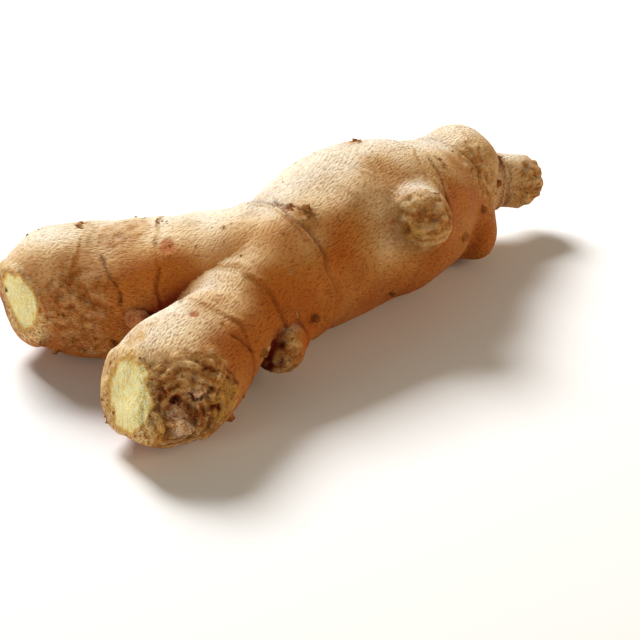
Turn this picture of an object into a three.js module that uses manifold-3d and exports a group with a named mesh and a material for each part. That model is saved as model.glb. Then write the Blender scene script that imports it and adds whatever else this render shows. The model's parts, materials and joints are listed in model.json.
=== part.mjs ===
// Ginger root: one rhizome, broken from a larger hand, lying on a flat surface. Millimetres, +Z up.
//
// It grew as one piece, so it is one closed solid. Fat fingers fork from a trunk, thin rings mark the
// places where leaf scales grew, two fingers end in the flat scars where they were snapped off, and the
// other ends are rough with old bark. Small buds, root stubs and dry scales stand out of the skin.
//
// The skin is the zero surface of a distance formula. Each limb is a line of spheres, the limbs are
// joined by a smooth minimum, and rings, scars and bark are added to the limbs' own distances.

import * as THREE from "three";
import { mergeVertices } from "three/addons/utils/BufferGeometryUtils.js";
import Module from "manifold-3d";

// ---------------------------------------------------------------- driving dimensions

// Stations along each limb's middle line: [x, y, z, radius]. blend is the fillet's size at the parent.
const LIMBS = {
  trunk: {
    line: [
      [-34, 9.5, 17, 14.6], [-18, 2.5, 18, 16.1], [-2, 7.5, 19, 18.5], [14.5, 14.2, 20, 20.6],
      [28.5, 16.5, 19, 18.7], [41, 22.5, 17, 14.8], [50, 27, 14.6, 12.6],
    ],
  },
  leftFinger: {
    parent: "trunk",
    blend: 9,
    line: [[-57.5, 25, 16, 14.9], [-53, 22, 16, 15.9], [-45, 17, 15.7, 16.2], [-37, 12.5, 16.4, 15.3],
      [-27, 7, 17.4, 15.2]],
  },
  frontFinger: {
    parent: "trunk",
    blend: 8,
    line: [[-17, 1, 17, 13.5], [-28, -8, 16.2, 11.4], [-38, -15.5, 15, 11.4], [-45.5, -21, 13.6, 12.4],
      [-49, -24.5, 13, 12.2]],
  },
  frontToe: {
    parent: "frontFinger",
    blend: 5,
    line: [[-40, -14, 15, 9.5], [-50, -19, 13.4, 12], [-55.6, -23, 12.4, 12]],
  },
  frontHeel: {
    parent: "frontToe",
    blend: 4,
    line: [[-53, -25, 10.5, 8.5], [-58.5, -31, 9.6, 5.6], [-61.2, -34, 8.8, 3]],
  },
  farKnob: {
    parent: "trunk",
    blend: 5,
    line: [[40, 24, 19.5, 12], [50, 28.5, 20.4, 11.6], [55.5, 30.8, 20.9, 11.2]],
  },
  lowKnob: {
    parent: "trunk",
    blend: 4,
    line: [[44, 21, 13, 9], [50, 18.5, 9.5, 7.6], [52, 17, 8.6, 7]],
  },
  farFinger: {
    parent: "trunk",
    blend: 5,
    line: [[54, 30, 16, 9.5], [66, 29.5, 15.8, 7.4], [74, 29, 14, 7]],
  },
  frontBud: {
    parent: "trunk",
    blend: 3,
    line: [[29, 12, 20, 9.5], [25.5, 2.5, 24, 8.7], [23.4, -3, 27, 7.8]],
  },
  forkBud: {
    parent: "trunk",
    blend: 4,
    line: [[-14, -2, 13, 8.5], [-19.5, -11.5, 11, 6.8], [-22.2, -16.8, 10, 5.8]],
  },
  backStub: {
    parent: "trunk",
    blend: 5,
    line: [[14, 22, 15, 10], [12, 36, 12, 8.4], [11, 41, 11.4, 7.8]],
  },
};
const STEPS_PER_SPAN = 6; // short straight pieces between two stations

// Rings: the limb, the place along it counted in stations, how the ring leans, and how high its lip is.
const RINGS = [
  { limb: "trunk", at: 1.46, lean: [0, 0, 0], lip: 0.9 },
  { limb: "trunk", at: 2.75, lean: [0, 0.25, 0], lip: 0.35 },
  { limb: "trunk", at: 4.15, lean: [0, -0.5, 0], lip: 0.9 },
  { limb: "leftFinger", at: 0.75, lean: [0, 0, -0.15], lip: 0.35 },
  { limb: "leftFinger", at: 2.34, lean: [0, 0, 0.6], lip: 0.5 },
  { limb: "leftFinger", at: 3.1, lean: [0, 0, 0], lip: 0.9 },
  { limb: "frontFinger", at: 1.05, lean: [0, 0, 0], lip: 0.8 },
  { limb: "frontFinger", at: 2.3, lean: [0, 0, 0.1], lip: 0.6 },
  { limb: "farKnob", at: 0.9, lean: [0, 0, 0.2], lip: 0.7 },
  { limb: "farFinger", at: 1.15, lean: [0, 0, 0], lip: 0.7 },
  { limb: "frontBud", at: 1.25, lean: [0, 0, 0], lip: 0.9 },
  { limb: "forkBud", at: 1.3, lean: [0, 0, 0], lip: 0.6 },
  { limb: "backStub", at: 1.1, lean: [0, 0, 0], lip: 0.8 },
];
const LIP_WIDTH = 1.3; // a ring's lip, from its middle to its edge
const GROOVE_SHARE = 0.6; // the groove beyond the lip, as a share of the lip's height

// Scars: the flat faces where a finger was snapped off. Each cuts only its own limb.
const SCARS = [
  { limb: "leftFinger", centre: [-70.4, 23, 15.1], facing: [-0.985, -0.1, -0.12], rim: 0.7 },
  { limb: "frontToe", centre: [-64.3, -23.3, 15], facing: [-0.966, -0.03, 0.26], rim: 0.6 },
  { limb: "backStub", centre: [10, 47.2, 11], facing: [-0.2, 0.97, -0.1], rim: 0.6 },
];

// Dents: shallow bowls where old ends have dried and shrunk: centre and radius.
const DENTS = [
  { centre: [-52.5, -42.3, 15.2], radius: 7 },
  { centre: [-44.5, -44, 13.5], radius: 9.2 },
  { centre: [19.3, -14.3, 33], radius: 7 },
];

// Bark: rough old ends, as balls that reach the skin, with how high the bumps stand.
const BARK = [
  { centre: [-63, 10, 20], radius: 8, bump: 0.5 },
  { centre: [-60, 9, 11], radius: 7, bump: 0.5 },
  { centre: [-52, -36, 14], radius: 13, bump: 0.9 },
  { centre: [55, 17, 26], radius: 9.5, bump: 0.7 },
  { centre: [77, 26, 13.5], radius: 9.5, bump: 0.7 },
  { centre: [21, -8.5, 30], radius: 7.5, bump: 0.7 },
  { centre: [-24.5, -21, 9.5], radius: 6.5, bump: 0.6 },
];
const BARK_PITCH = 4.2; // distance between two bumps

// Buds and root stubs that stand out of the skin: where, which way, how thick and how far.
const SPROUTS = [
  { at: [-49.8, -0.4, 17.2], facing: [-0.35, -0.9, -0.2], radius: 2.3, length: 3.6 },
  { at: [17, 33.5, 22], facing: [0.15, 0.9, 0.35], radius: 2.2, length: 2.6 },
  { at: [-28, 22, 18], facing: [0.1, 0.98, 0.1], radius: 1.8, length: 2.2 },
];
const ROOT_STUBS = 16; // broken rootlets, on the lower half of the skin
const ROOT_STUB = { radius: 0.95, length: 1.3 };

// Dry scales on the rings: where the scale's foot is, which way it points, its width and length.
const SCALES = [
  { at: [-9.3, -2.1, 35.3], towards: [0.9, -0.2, 0], width: 4.6, length: 4.4 },
  { at: [16.4, 20, 39.2], towards: [0.95, 0.1, 0], width: 4.2, length: 4.2 },
  { at: [-38, 11, 32], towards: [0.8, -0.3, 0.1], width: 4, length: 3.2 },
  { at: [-52, 22, 30.4], towards: [-0.8, 0.4, 0], width: 4.4, length: 4 },
  { at: [-28, -10.8, 28], towards: [-0.7, -0.6, 0], width: 4, length: 3 },
  { at: [34.5, 9, 34], towards: [0.8, -0.1, 0.2], width: 4.4, length: 3.4 },
  { at: [-57, 9, 6.5], towards: [-0.8, 0.2, -0.3], width: 4, length: 3.2 },
  { at: [20, 33, 25], towards: [0.9, 0.2, 0], width: 4.4, length: 3.6 },
];
const SCALE_THICKNESS = 0.9;

const WAVES = { height: 0.45, length: 17 }; // slow unevenness of the whole skin
const MESH_CELL = 3.7; // first, even mesh
const FINE = { bark: 2.5, ring: 2.7, plain: 6.5 }; // longest edge in each region
const REFINE_ROUNDS = 4;
const WELD = 0.003; // corners closer than this are drawn together
const ORIGIN = [4.7, 5.6]; // the middle of the root's box, in the stations' coordinates
const SKIN_COLOUR = 0xc9a06a;

// ---------------------------------------------------------------- limbs as formulas

/** Catmull-Rom points through the stations, with the radius as a fourth coordinate. */
function sampleLine(line) {
  const first = line[0].map((v, i) => 2 * v - line[1][i]);
  const last = line.at(-1).map((v, i) => 2 * v - line.at(-2)[i]);
  const q = [first, ...line, last];
  const points = [];
  for (let s = 1; s < q.length - 2; s++) {
    for (let step = 0; step < STEPS_PER_SPAN; step++) {
      const t = step / STEPS_PER_SPAN;
      points.push(
        q[s].map((v, i) => {
          const [a, c, d] = [q[s - 1][i], q[s + 1][i], q[s + 2][i]];
          return v + 0.5 * t * (c - a + t * (2 * a - 5 * v + 4 * c - d + t * (3 * (v - c) + d - a)));
        }),
      );
    }
  }
  points.push(line.at(-1));
  return points;
}

const FAR = 12; // beyond this a limb no longer bends the skin, and a rough distance will do
const dot = (a, b) => a[0] * b[0] + a[1] * b[1] + a[2] * b[2];
const minus = (a, b) => [a[0] - b[0], a[1] - b[1], a[2] - b[2]];
const length = (a) => Math.hypot(a[0], a[1], a[2]);
const unit = (a) => a.map((v) => v / length(a));
const bell = (x) => Math.exp(-x * x);
const clamp = (x) => Math.min(1, Math.max(0, x));

/** Distance to a chain of spheres whose radius changes evenly from one to the next. */
function limbDistance(p, { points, middle, reach }) {
  const outside = Math.hypot(p[0] - middle[0], p[1] - middle[1], p[2] - middle[2]) - reach;
  if (outside > FAR) return outside;
  let best = Infinity;
  for (let i = 0; i + 1 < points.length; i++) {
    const [a, b] = [points[i], points[i + 1]];
    const [dx, dy, dz] = [b[0] - a[0], b[1] - a[1], b[2] - a[2]];
    const [px, py, pz] = [p[0] - a[0], p[1] - a[1], p[2] - a[2]];
    const t = clamp((px * dx + py * dy + pz * dz) / (dx * dx + dy * dy + dz * dz));
    const away = Math.hypot(px - t * dx, py - t * dy, pz - t * dz);
    best = Math.min(best, away - a[3] - t * (b[3] - a[3]));
  }
  return best;
}

function smoothMin(a, b, k) {
  const h = Math.max(k - Math.abs(a - b), 0) / k;
  return Math.min(a, b) - (h * h * k) / 4;
}
const smoothMax = (a, b, k) => -smoothMin(-a, -b, k);

/** Three crossed sine waves: a smooth bumpy pattern between -1 and 1. */
function crossedWaves([x, y, z], wavelength) {
  const k = (2 * Math.PI) / wavelength;
  return (
    (Math.sin(k * x + 1) * Math.cos(1.13 * k * y + 2) +
      Math.sin(k * y + 3) * Math.cos(0.91 * k * z) +
      Math.sin(1.07 * k * z + 5) * Math.cos(0.87 * k * x + 4)) / 2
  );
}

const ALL_LIMBS = Object.values(LIMBS);
for (const [name, limb] of Object.entries(LIMBS)) {
  limb.points = sampleLine(limb.line);
  limb.middle = limb.points[Math.floor(limb.points.length / 2)];
  limb.reach = Math.max(...limb.points.map((q) => length(minus(q, limb.middle)) + q[3]));
  limb.scars = SCARS.filter((s) => s.limb === name).map((s) => ({ ...s, facing: unit(s.facing) }));
  limb.rings = RINGS.filter((r) => r.limb === name).map((ring) => {
    const i = Math.floor(ring.at * STEPS_PER_SPAN);
    const [a, b] = [limb.points[i], limb.points[i + 1]];
    const along = unit(minus(b, a));
    return { ...ring, centre: a, radius: a[3], facing: unit(along.map((v, k) => v + ring.lean[k])) };
  });
}

/** How far the skin is raised at p by a ring: a lip, then a groove on the side of the tip. */
function ringRelief(p, ring) {
  const from = minus(p, ring.centre);
  const near = clamp(3.6 - (2 * length(from)) / ring.radius);
  const q = dot(from, ring.facing) + 0.9 * crossedWaves(p, 11);
  return near * ring.lip * (bell(q / LIP_WIDTH) - GROOVE_SHARE * bell((q - 1.7 * LIP_WIDTH) / LIP_WIDTH));
}

/** A limb's own distance, with its rings raised and its scars cut. */
function dressedLimb(p, limb) {
  let d = limbDistance(p, limb);
  for (const ring of limb.rings) if (Math.abs(d) < 4) d -= ringRelief(p, ring);
  for (const scar of limb.scars) {
    const beyond = dot(minus(p, scar.centre), scar.facing) + 0.5 * crossedWaves(p, 9);
    d = smoothMax(d - scar.rim * bell((beyond + 1.2) / 1.2), beyond, 0.8);
  }
  return d;
}

const barkAt = (p, patch) => clamp(2 - (2 * length(minus(p, patch.centre))) / patch.radius);

/** The whole root: negative inside, zero on the skin, about millimetres outside. */
function rootDistance(p) {
  for (const limb of ALL_LIMBS) limb.distance = dressedLimb(p, limb);
  let d = LIMBS.trunk.distance;
  for (const { parent, distance, blend } of ALL_LIMBS)
    if (parent) d = Math.min(d, smoothMin(LIMBS[parent].distance, distance, blend));
  d -= WAVES.height * crossedWaves(p, WAVES.length);
  for (const dent of DENTS) d = smoothMax(d, dent.radius - length(minus(p, dent.centre)), 1.5);
  for (const patch of BARK) d -= patch.bump * barkAt(p, patch) * crossedWaves(p, BARK_PITCH);
  return d;
}

/** The direction in which the distance grows at p, by small steps along X, Y and Z. */
function slopeAt(p, here = rootDistance(p)) {
  const e = 0.03;
  const [x, y, z] = p;
  const ahead = [[x + e, y, z], [x, y + e, z], [x, y, z + e]];
  return ahead.map((q) => (rootDistance(q) - here) / e);
}

/** Moves a point straight onto the skin. */
function ontoSkin(p, rounds = 4) {
  let q = [...p];
  for (let i = 0; i < rounds; i++) {
    const d = rootDistance(q);
    const g = slopeAt(q, d);
    const step = Math.max(-1, Math.min(1, d / Math.max(dot(g, g), 0.3)));
    q = q.map((v, k) => v - step * g[k]);
  }
  return q;
}

// ---------------------------------------------------------------- a mesh on the formula

/** Surface nets: a vertex in every cell that the skin crosses, a quad for every crossed grid edge. */
function surfaceNets(low, high, cell) {
  const n = [0, 1, 2].map((i) => Math.ceil((high[i] - low[i]) / cell) + 1);
  const stride = [1, n[0], n[0] * n[1]];
  const place = (i, j, k) => [low[0] + i * cell, low[1] + j * cell, low[2] + k * cell];
  const value = new Float32Array(n[0] * n[1] * n[2]);
  for (let k = 0, id = 0; k < n[2]; k++)
    for (let j = 0; j < n[1]; j++)
      for (let i = 0; i < n[0]; i++, id++) value[id] = rootDistance(place(i, j, k));

  const vertices = [];
  const vertexOf = new Map();
  function cellVertex(id) {
    if (vertexOf.has(id)) return vertexOf.get(id);
    const corner = [id % n[0], Math.floor(id / n[0]) % n[1], Math.floor(id / stride[2])];
    const sum = [0, 0, 0, 0];
    for (let a = 0; a < 3; a++)
      for (const [db, dc] of [[0, 0], [1, 0], [0, 1], [1, 1]]) {
        const [b, c] = [(a + 1) % 3, (a + 2) % 3];
        const start = id + db * stride[b] + dc * stride[c];
        const [v0, v1] = [value[start], value[start + stride[a]]];
        if (v0 < 0 === v1 < 0) continue;
        const at = [...corner];
        at[a] += v0 / (v0 - v1);
        at[b] += db;
        at[c] += dc;
        at.forEach((v, i) => (sum[i] += v));
        sum[3]++;
      }
    vertices.push(ontoSkin(place(...sum.slice(0, 3).map((v) => v / sum[3]))));
    vertexOf.set(id, vertices.length - 1);
    return vertices.length - 1;
  }

  const triangles = [];
  for (let k = 1; k < n[2] - 1; k++)
    for (let j = 1; j < n[1] - 1; j++)
      for (let i = 1; i < n[0] - 1; i++) {
        const id = i + j * stride[1] + k * stride[2];
        for (let a = 0; a < 3; a++) {
          const [inside, beyond] = [value[id] < 0, value[id + stride[a]] < 0];
          if (inside === beyond) continue;
          const [b, c] = [stride[(a + 1) % 3], stride[(a + 2) % 3]];
          const quad = [id - b - c, id - c, id, id - b].map(cellVertex);
          if (!inside) quad.reverse();
          const [p, q, r, s] = quad;
          if (length(minus(vertices[p], vertices[r])) < length(minus(vertices[q], vertices[s])))
            triangles.push([p, q, r], [p, r, s]);
          else triangles.push([q, r, s], [q, s, p]);
        }
      }
  return { vertices, triangles };
}

/** The longest edge wanted at p: short on bark and scar rims, middling on rings, long elsewhere. */
function wantedEdge(p) {
  if (BARK.some((patch) => barkAt(p, patch) > 0.35)) return FINE.bark;
  for (const limb of Object.values(LIMBS)) {
    for (const scar of limb.scars)
      if (Math.abs(dot(minus(p, scar.centre), scar.facing)) < 2 && length(minus(p, scar.centre)) < 13)
        return FINE.ring;
    for (const ring of limb.rings) {
      const from = minus(p, ring.centre);
      const q = dot(from, ring.facing) + 0.9 * crossedWaves(p, 11);
      const onLimb = Math.abs(limbDistance(p, limb)) < 1.6;
      if (onLimb && q > -2 && q < 3.4 && length(from) < 1.6 * ring.radius) return FINE.ring;
    }
  }
  return FINE.plain;
}

/** Halves long edges, the longest first, so that each edge is about as short as its place asks. */
function refine({ vertices, triangles }, rounds) {
  for (let round = 0; round < rounds; round++) {
    const edges = new Map();
    triangles.forEach((t, face) =>
      t.forEach((a, i) => {
        const b = t[(i + 1) % 3];
        const key = Math.min(a, b) * 1e6 + Math.max(a, b);
        if (!edges.has(key)) edges.set(key, { a, b, faces: [] });
        edges.get(key).faces.push(face);
      }),
    );
    const long = [];
    for (const edge of edges.values()) {
      const [a, b] = [vertices[edge.a], vertices[edge.b]];
      const size = length(minus(a, b));
      if (size < FINE.bark) continue;
      const middle = a.map((v, i) => (v + b[i]) / 2);
      if (size > wantedEdge(middle)) long.push({ ...edge, size, middle });
    }
    long.sort((e, f) => f.size - e.size);
    const touched = new Set();
    for (const { a, b, faces, middle } of long) {
      if (faces.some((face) => touched.has(face))) continue;
      const added = vertices.push(ontoSkin(middle)) - 1;
      for (const face of faces) {
        touched.add(face);
        const t = triangles[face];
        triangles[face] = t.map((v) => (v === b ? added : v));
        triangles.push(t.map((v) => (v === a ? added : v)));
      }
    }
  }
}

/** Slides each vertex towards the middle of its neighbours, then back onto the skin. */
function relax({ vertices, triangles }, rounds) {
  for (let round = 0; round < rounds; round++) {
    const sums = vertices.map(() => [0, 0, 0, 0]);
    for (const t of triangles)
      t.forEach((a, i) => {
        vertices[t[(i + 1) % 3]].forEach((v, k) => (sums[a][k] += v));
        sums[a][3]++;
      });
    sums.forEach((sum, i) => {
      const middle = vertices[i].map((v, k) => (v + sum[k] / sum[3]) / 2);
      vertices[i] = ontoSkin(middle, 2);
    });
  }
}

// ---------------------------------------------------------------- solids

const wasm = await Module();
wasm.setup();

/** A closed three.js geometry as a solid that can be joined and cut. */
function solidFrom(geometry) {
  const bare = geometry.clone();
  bare.deleteAttribute("normal");
  bare.deleteAttribute("uv");
  const merged = mergeVertices(bare, 1e-4);
  return new wasm.Manifold(
    new wasm.Mesh({
      numProp: 3,
      vertProperties: merged.attributes.position.array,
      triVerts: new Uint32Array(merged.index.array),
    }),
  );
}

/** A solid as a geometry, with corners that joining left closer than WELD drawn together. */
function geometryFrom(solid) {
  const mesh = solid.getMesh();
  const merged = mergeVertices(
    new THREE.BufferGeometry()
      .setAttribute("position", new THREE.BufferAttribute(mesh.vertProperties, 3))
      .setIndex(new THREE.BufferAttribute(mesh.triVerts, 1)),
    WELD,
  );
  const { array } = merged.index;
  const kept = [];
  for (let i = 0; i < array.length; i += 3) {
    const [a, b, c] = array.subarray(i, i + 3);
    if (a !== b && b !== c && c !== a) kept.push(a, b, c);
  }
  return merged.setIndex(kept);
}

/** The root's body: the mesh on the formula, with what would lie below the ground pressed flat on it. */
function bodyGeometry() {
  const net = surfaceNets([-80, -52, -6], [90, 60, 48], MESH_CELL);
  relax(net, 2);
  refine(net, REFINE_ROUNDS);
  relax(net, 2);
  const grounded = net.vertices.map(([x, y, z]) => [x, y, Math.max(0, z)]);
  return new THREE.BufferGeometry()
    .setAttribute("position", new THREE.Float32BufferAttribute(grounded.flat(), 3))
    .setIndex(net.triangles.flat());
}

/** A stub with a round tip along +Z, its foot sunk below the origin. */
function stubGeometry({ radius, length: reach }, sides) {
  const sunk = 1.5;
  const profile = [[0, -sunk], [radius * 1.25, -sunk], [radius, 0.4 * reach], [0.7 * radius, reach - 0.15 * radius],
    [0, reach]];
  return new THREE.LatheGeometry(profile.map(([r, z]) => new THREE.Vector2(r, z)), sides)
    .rotateX(Math.PI / 2);
}

/** A dry scale along +Y in the plane of the skin: a tongue that lifts off towards its tip. */
function scaleGeometry({ width, length: reach }) {
  const outline = new THREE.Shape();
  outline.moveTo(-width / 2, -1.5);
  outline.lineTo(width / 2, -1.5);
  outline.quadraticCurveTo(width * 0.55, reach * 0.5, width * 0.1, reach);
  outline.quadraticCurveTo(-width * 0.3, reach * 0.75, -width / 2, -1.5);
  const lift = THREE.MathUtils.degToRad(16);
  return new THREE.ExtrudeGeometry(outline, { depth: SCALE_THICKNESS, bevelEnabled: false, curveSegments: 3 })
    .translate(0, 0, -0.55 * SCALE_THICKNESS)
    .rotateX(lift);
}

/** Turns and moves a geometry so that its +Z stands on the skin at p, with its +Y as near towards as it can. */
function standOnSkin(geometry, p, up, towards = [0, 0, 1]) {
  const z = new THREE.Vector3(...unit(up));
  const x = new THREE.Vector3().crossVectors(new THREE.Vector3(...towards), z).normalize();
  const y = new THREE.Vector3().crossVectors(z, x);
  return geometry.applyMatrix4(new THREE.Matrix4().makeBasis(x, y, z).setPosition(...p));
}

/** Seeded random numbers from 0 to 1 (a linear congruential generator). */
function seeded(seed) {
  let state = seed;
  return () => (state = (state * 1664525 + 1013904223) % 4294967296) / 4294967296;
}

/** Places on the lower half of the skin, clear of the feet and of each other. */
function rootStubPlaces() {
  const random = seeded(11);
  const places = [];
  const limbs = ["trunk", "leftFinger", "frontFinger", "farKnob"].map((name) => LIMBS[name].points);
  while (places.length < ROOT_STUBS) {
    const points = limbs[Math.floor(random() * limbs.length)];
    const [x, y, z, r] = points[Math.floor(random() * points.length)];
    const [turn, drop] = [random() * 2 * Math.PI, 0.05 + 0.55 * random()];
    const out = [Math.cos(turn) * (1 - drop), Math.sin(turn) * (1 - drop), -drop];
    const p = ontoSkin([x + r * out[0], y + r * out[1], z + r * out[2]], 8);
    const apart = places.every((q) => length(minus(p, q)) > 7);
    if (Math.abs(rootDistance(p)) < 0.05 && p[2] > 3.5 && apart) places.push(p);
  }
  return places;
}

function gingerRoot() {
  let root = solidFrom(bodyGeometry());
  for (const sprout of SPROUTS)
    root = root.add(solidFrom(standOnSkin(stubGeometry(sprout, 9), ontoSkin(sprout.at, 8), sprout.facing)));
  for (const p of rootStubPlaces())
    root = root.add(solidFrom(standOnSkin(stubGeometry(ROOT_STUB, 6), p, slopeAt(p), [0, 1, 0.2])));
  for (const scale of SCALES) {
    const foot = ontoSkin(scale.at, 8);
    root = root.add(solidFrom(standOnSkin(scaleGeometry(scale), foot, slopeAt(foot), scale.towards)));
  }
  return geometryFrom(root);
}

// ---------------------------------------------------------------- the part

const skin = new THREE.MeshStandardMaterial({ color: SKIN_COLOUR, roughness: 0.8, metalness: 0 });
const rhizome = new THREE.Mesh(gingerRoot().translate(-ORIGIN[0], -ORIGIN[1], 0), skin);
rhizome.name = "rhizome";

const ginger = new THREE.Group();
ginger.add(rhizome);

export default ginger;
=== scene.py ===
# %% [markdown]
# # A fresh ginger root
# A ginger root is a rhizome: an underground stem that swells, forks and is snapped off to be sold. Its
# skin is thin and papery, and rings on it mark where leaf scales grew. The imported model gives the root's
# place and size. Everything here is made round it, in the same frame, and first of all the frame is
# loaded.

# %% Load the frame
import json
import math

import bpy
import numpy as np
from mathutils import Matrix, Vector

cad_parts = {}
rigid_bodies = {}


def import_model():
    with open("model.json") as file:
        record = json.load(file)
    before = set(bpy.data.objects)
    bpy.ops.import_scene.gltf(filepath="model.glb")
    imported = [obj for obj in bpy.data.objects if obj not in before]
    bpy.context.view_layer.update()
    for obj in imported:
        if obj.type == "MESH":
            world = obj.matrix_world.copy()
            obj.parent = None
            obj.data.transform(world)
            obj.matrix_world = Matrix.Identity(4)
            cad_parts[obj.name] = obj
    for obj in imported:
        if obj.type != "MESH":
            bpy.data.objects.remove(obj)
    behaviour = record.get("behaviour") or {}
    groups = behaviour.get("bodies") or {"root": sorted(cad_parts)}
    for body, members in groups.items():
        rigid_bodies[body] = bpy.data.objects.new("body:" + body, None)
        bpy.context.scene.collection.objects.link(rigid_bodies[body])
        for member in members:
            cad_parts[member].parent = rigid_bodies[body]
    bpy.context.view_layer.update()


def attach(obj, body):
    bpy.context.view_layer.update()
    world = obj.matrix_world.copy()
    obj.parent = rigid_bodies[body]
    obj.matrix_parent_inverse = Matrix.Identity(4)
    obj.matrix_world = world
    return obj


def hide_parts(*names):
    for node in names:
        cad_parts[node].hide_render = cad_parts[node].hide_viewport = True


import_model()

MM = 0.001

# %% [markdown]
# ## The limbs
# A sculptor would start from a wire armature and thicken it, and this is the same idea as a formula. Each
# limb is a line of stations, and each station is a ball with a place and a radius in millimetres. It
# could be done with metaballs or with a Skin modifier, but neither keeps the sharp fold where two fingers
# meet. A formula does: each limb melts only into the limb that it grew from.

# %% Stations of the limbs: x, y, z and radius
ORIGIN = np.array([4.7, 5.6, 0])  # the middle of the root's box, in the stations' coordinates
LIMBS = {
    "trunk": dict(parent=None, blend=0, line=[
        (-34, 9.5, 17, 14.6), (-18, 2.5, 18, 16.1), (-2, 7.5, 19, 18.5), (14.5, 14.2, 20, 20.6),
        (28.5, 16.5, 19, 18.7), (41, 22.5, 17, 14.8), (50, 27, 14.6, 12.6)]),
    "left_finger": dict(parent="trunk", blend=9, line=[
        (-57.5, 25, 16, 14.9), (-53, 22, 16, 15.9), (-45, 17, 15.7, 16.2), (-37, 12.5, 16.4, 15.3),
        (-27, 7, 17.4, 15.2)]),
    "front_finger": dict(parent="trunk", blend=8, line=[
        (-17, 1, 17, 13.5), (-28, -8, 16.2, 11.4), (-38, -15.5, 15, 11.4), (-45.5, -21, 13.6, 12.4),
        (-49, -24.5, 13, 12.2)]),
    "front_toe": dict(parent="front_finger", blend=5, line=[
        (-40, -14, 15, 9.5), (-50, -19, 13.4, 12), (-55.6, -23, 12.4, 12)]),
    "front_heel": dict(parent="front_toe", blend=4, line=[
        (-53, -25, 10.5, 8.5), (-58.5, -31, 9.6, 5.6), (-61.2, -34, 8.8, 3)]),
    "far_knob": dict(parent="trunk", blend=5, line=[
        (40, 24, 19.5, 12), (50, 28.5, 20.4, 11.6), (55.5, 30.8, 20.9, 11.2)]),
    "low_knob": dict(parent="trunk", blend=4, line=[
        (44, 21, 13, 9), (50, 18.5, 9.5, 7.6), (52, 17, 8.6, 7)]),
    "far_finger": dict(parent="trunk", blend=5, line=[
        (54, 30, 16, 9.5), (66, 29.5, 15.8, 7.4), (74, 29, 14, 7)]),
    "front_bud": dict(parent="trunk", blend=3, line=[
        (29, 12, 20, 9.5), (25.5, 2.5, 24, 8.7), (23.4, -3, 27, 7.8)]),
    "fork_bud": dict(parent="trunk", blend=4, line=[
        (-14, -2, 13, 8.5), (-19.5, -11.5, 11, 6.8), (-22.2, -16.8, 10, 5.8)]),
    "back_stub": dict(parent="trunk", blend=5, line=[
        (14, 22, 15, 10), (12, 36, 12, 8.4), (11, 41, 11.4, 7.8)]),
}
print("limbs", len(LIMBS), "stations", sum(len(limb["line"]) for limb in LIMBS.values()))

# %% [markdown]
# ## Smooth lines through the stations
# Straight pieces between the stations would show as bends in the skin. A Catmull-Rom curve goes through
# every station and turns smoothly there, and it needs no handles, as a Bezier curve would. The radius is
# carried along with the place. Each limb also keeps a ball that holds all of it, so that points far away
# can be passed over.

# %% Smooth the limbs' lines
STEPS_PER_SPAN = 6


def sample_line(line):
    """Catmull-Rom points: a cubic from station to station whose slope at each follows its two neighbours."""
    q = np.array([2 * np.array(line[0]) - line[1], *line, 2 * np.array(line[-1]) - line[-2]])
    t = (np.arange(STEPS_PER_SPAN) / STEPS_PER_SPAN)[:, None]
    spans = []
    for p0, p1, p2, p3 in zip(q, q[1:], q[2:], q[3:]):
        curve = 2 * p0 - 5 * p1 + 4 * p2 - p3 + t * (3 * (p1 - p2) + p3 - p0)
        spans.append(p1 + 0.5 * t * (p2 - p0 + t * curve))
    return np.concatenate([*spans, q[-2:-1]])


for limb in LIMBS.values():
    limb["points"] = sample_line(limb["line"])
    limb["middle"] = limb["points"][len(limb["points"]) // 2, :3]
    reach = np.linalg.norm(limb["points"][:, :3] - limb["middle"], axis=1) + limb["points"][:, 3]
    limb["reach"] = reach.max()
print("balls on the smooth lines", sum(len(limb["points"]) for limb in LIMBS.values()))

# %% [markdown]
# ## Rings, scars, dents and bark
# A ring is a low lip with a groove beyond it, where a leaf scale once wrapped the stem. A scar is the
# flat face where a finger was snapped off, a dent is a bowl worn into an old end, and bark is the rough
# dry skin there. They could be sculpted by hand. As formulas on each limb's own distance they stay where
# the limb puts them, and the same formulas later say where the colours change.

# %% Rings, scars, dents and bark patches
RINGS = [  # the limb, the place in stations, the lean, the lip's height in mm, the side that shows it most
    ("trunk", 1.46, (0, 0, 0), 0.45, (-0.1, -0.3, 1)), ("trunk", 2.75, (0, 0.25, 0), 0.15, (0.2, 1, -0.2)),
    ("trunk", 4.15, (0, -0.5, 0), 0.12, (0, 1, 0)), ("left_finger", 0.75, (0, 0, -0.15), 0.12, (0, 1, 0)),
    ("left_finger", 2.34, (0, 0, 0.6), 0.12, (0, 1, 0)), ("left_finger", 3.1, (0, 0, 0), 0.4, (0, -0.7, 0.7)),
    ("front_finger", 1.05, (0, 0, 0), 0.3, (0.6, -0.7, -0.3)),
    ("front_finger", 2.3, (0, 0, 0.1), 0.25, (0.6, -0.7, 0.2)),
    ("far_knob", 0.9, (0, 0, 0.2), 0.35, (0, -0.8, 0.3)), ("far_finger", 1.15, (0, 0, 0), 0.5, (0, -0.5, -1)),
    ("front_bud", 1.25, (0, 0, 0), 0.5, (-1, 0, 0.3)), ("fork_bud", 1.3, (0, 0, 0), 0.4, (-0.2, -0.5, 1)),
    ("back_stub", 1.1, (0, 0, 0), 0.6, (0, 0, 1)),
]
LIP_WIDTH = 0.7  # mm
GROOVE_AT = 1.15  # mm beyond the lip
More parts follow.
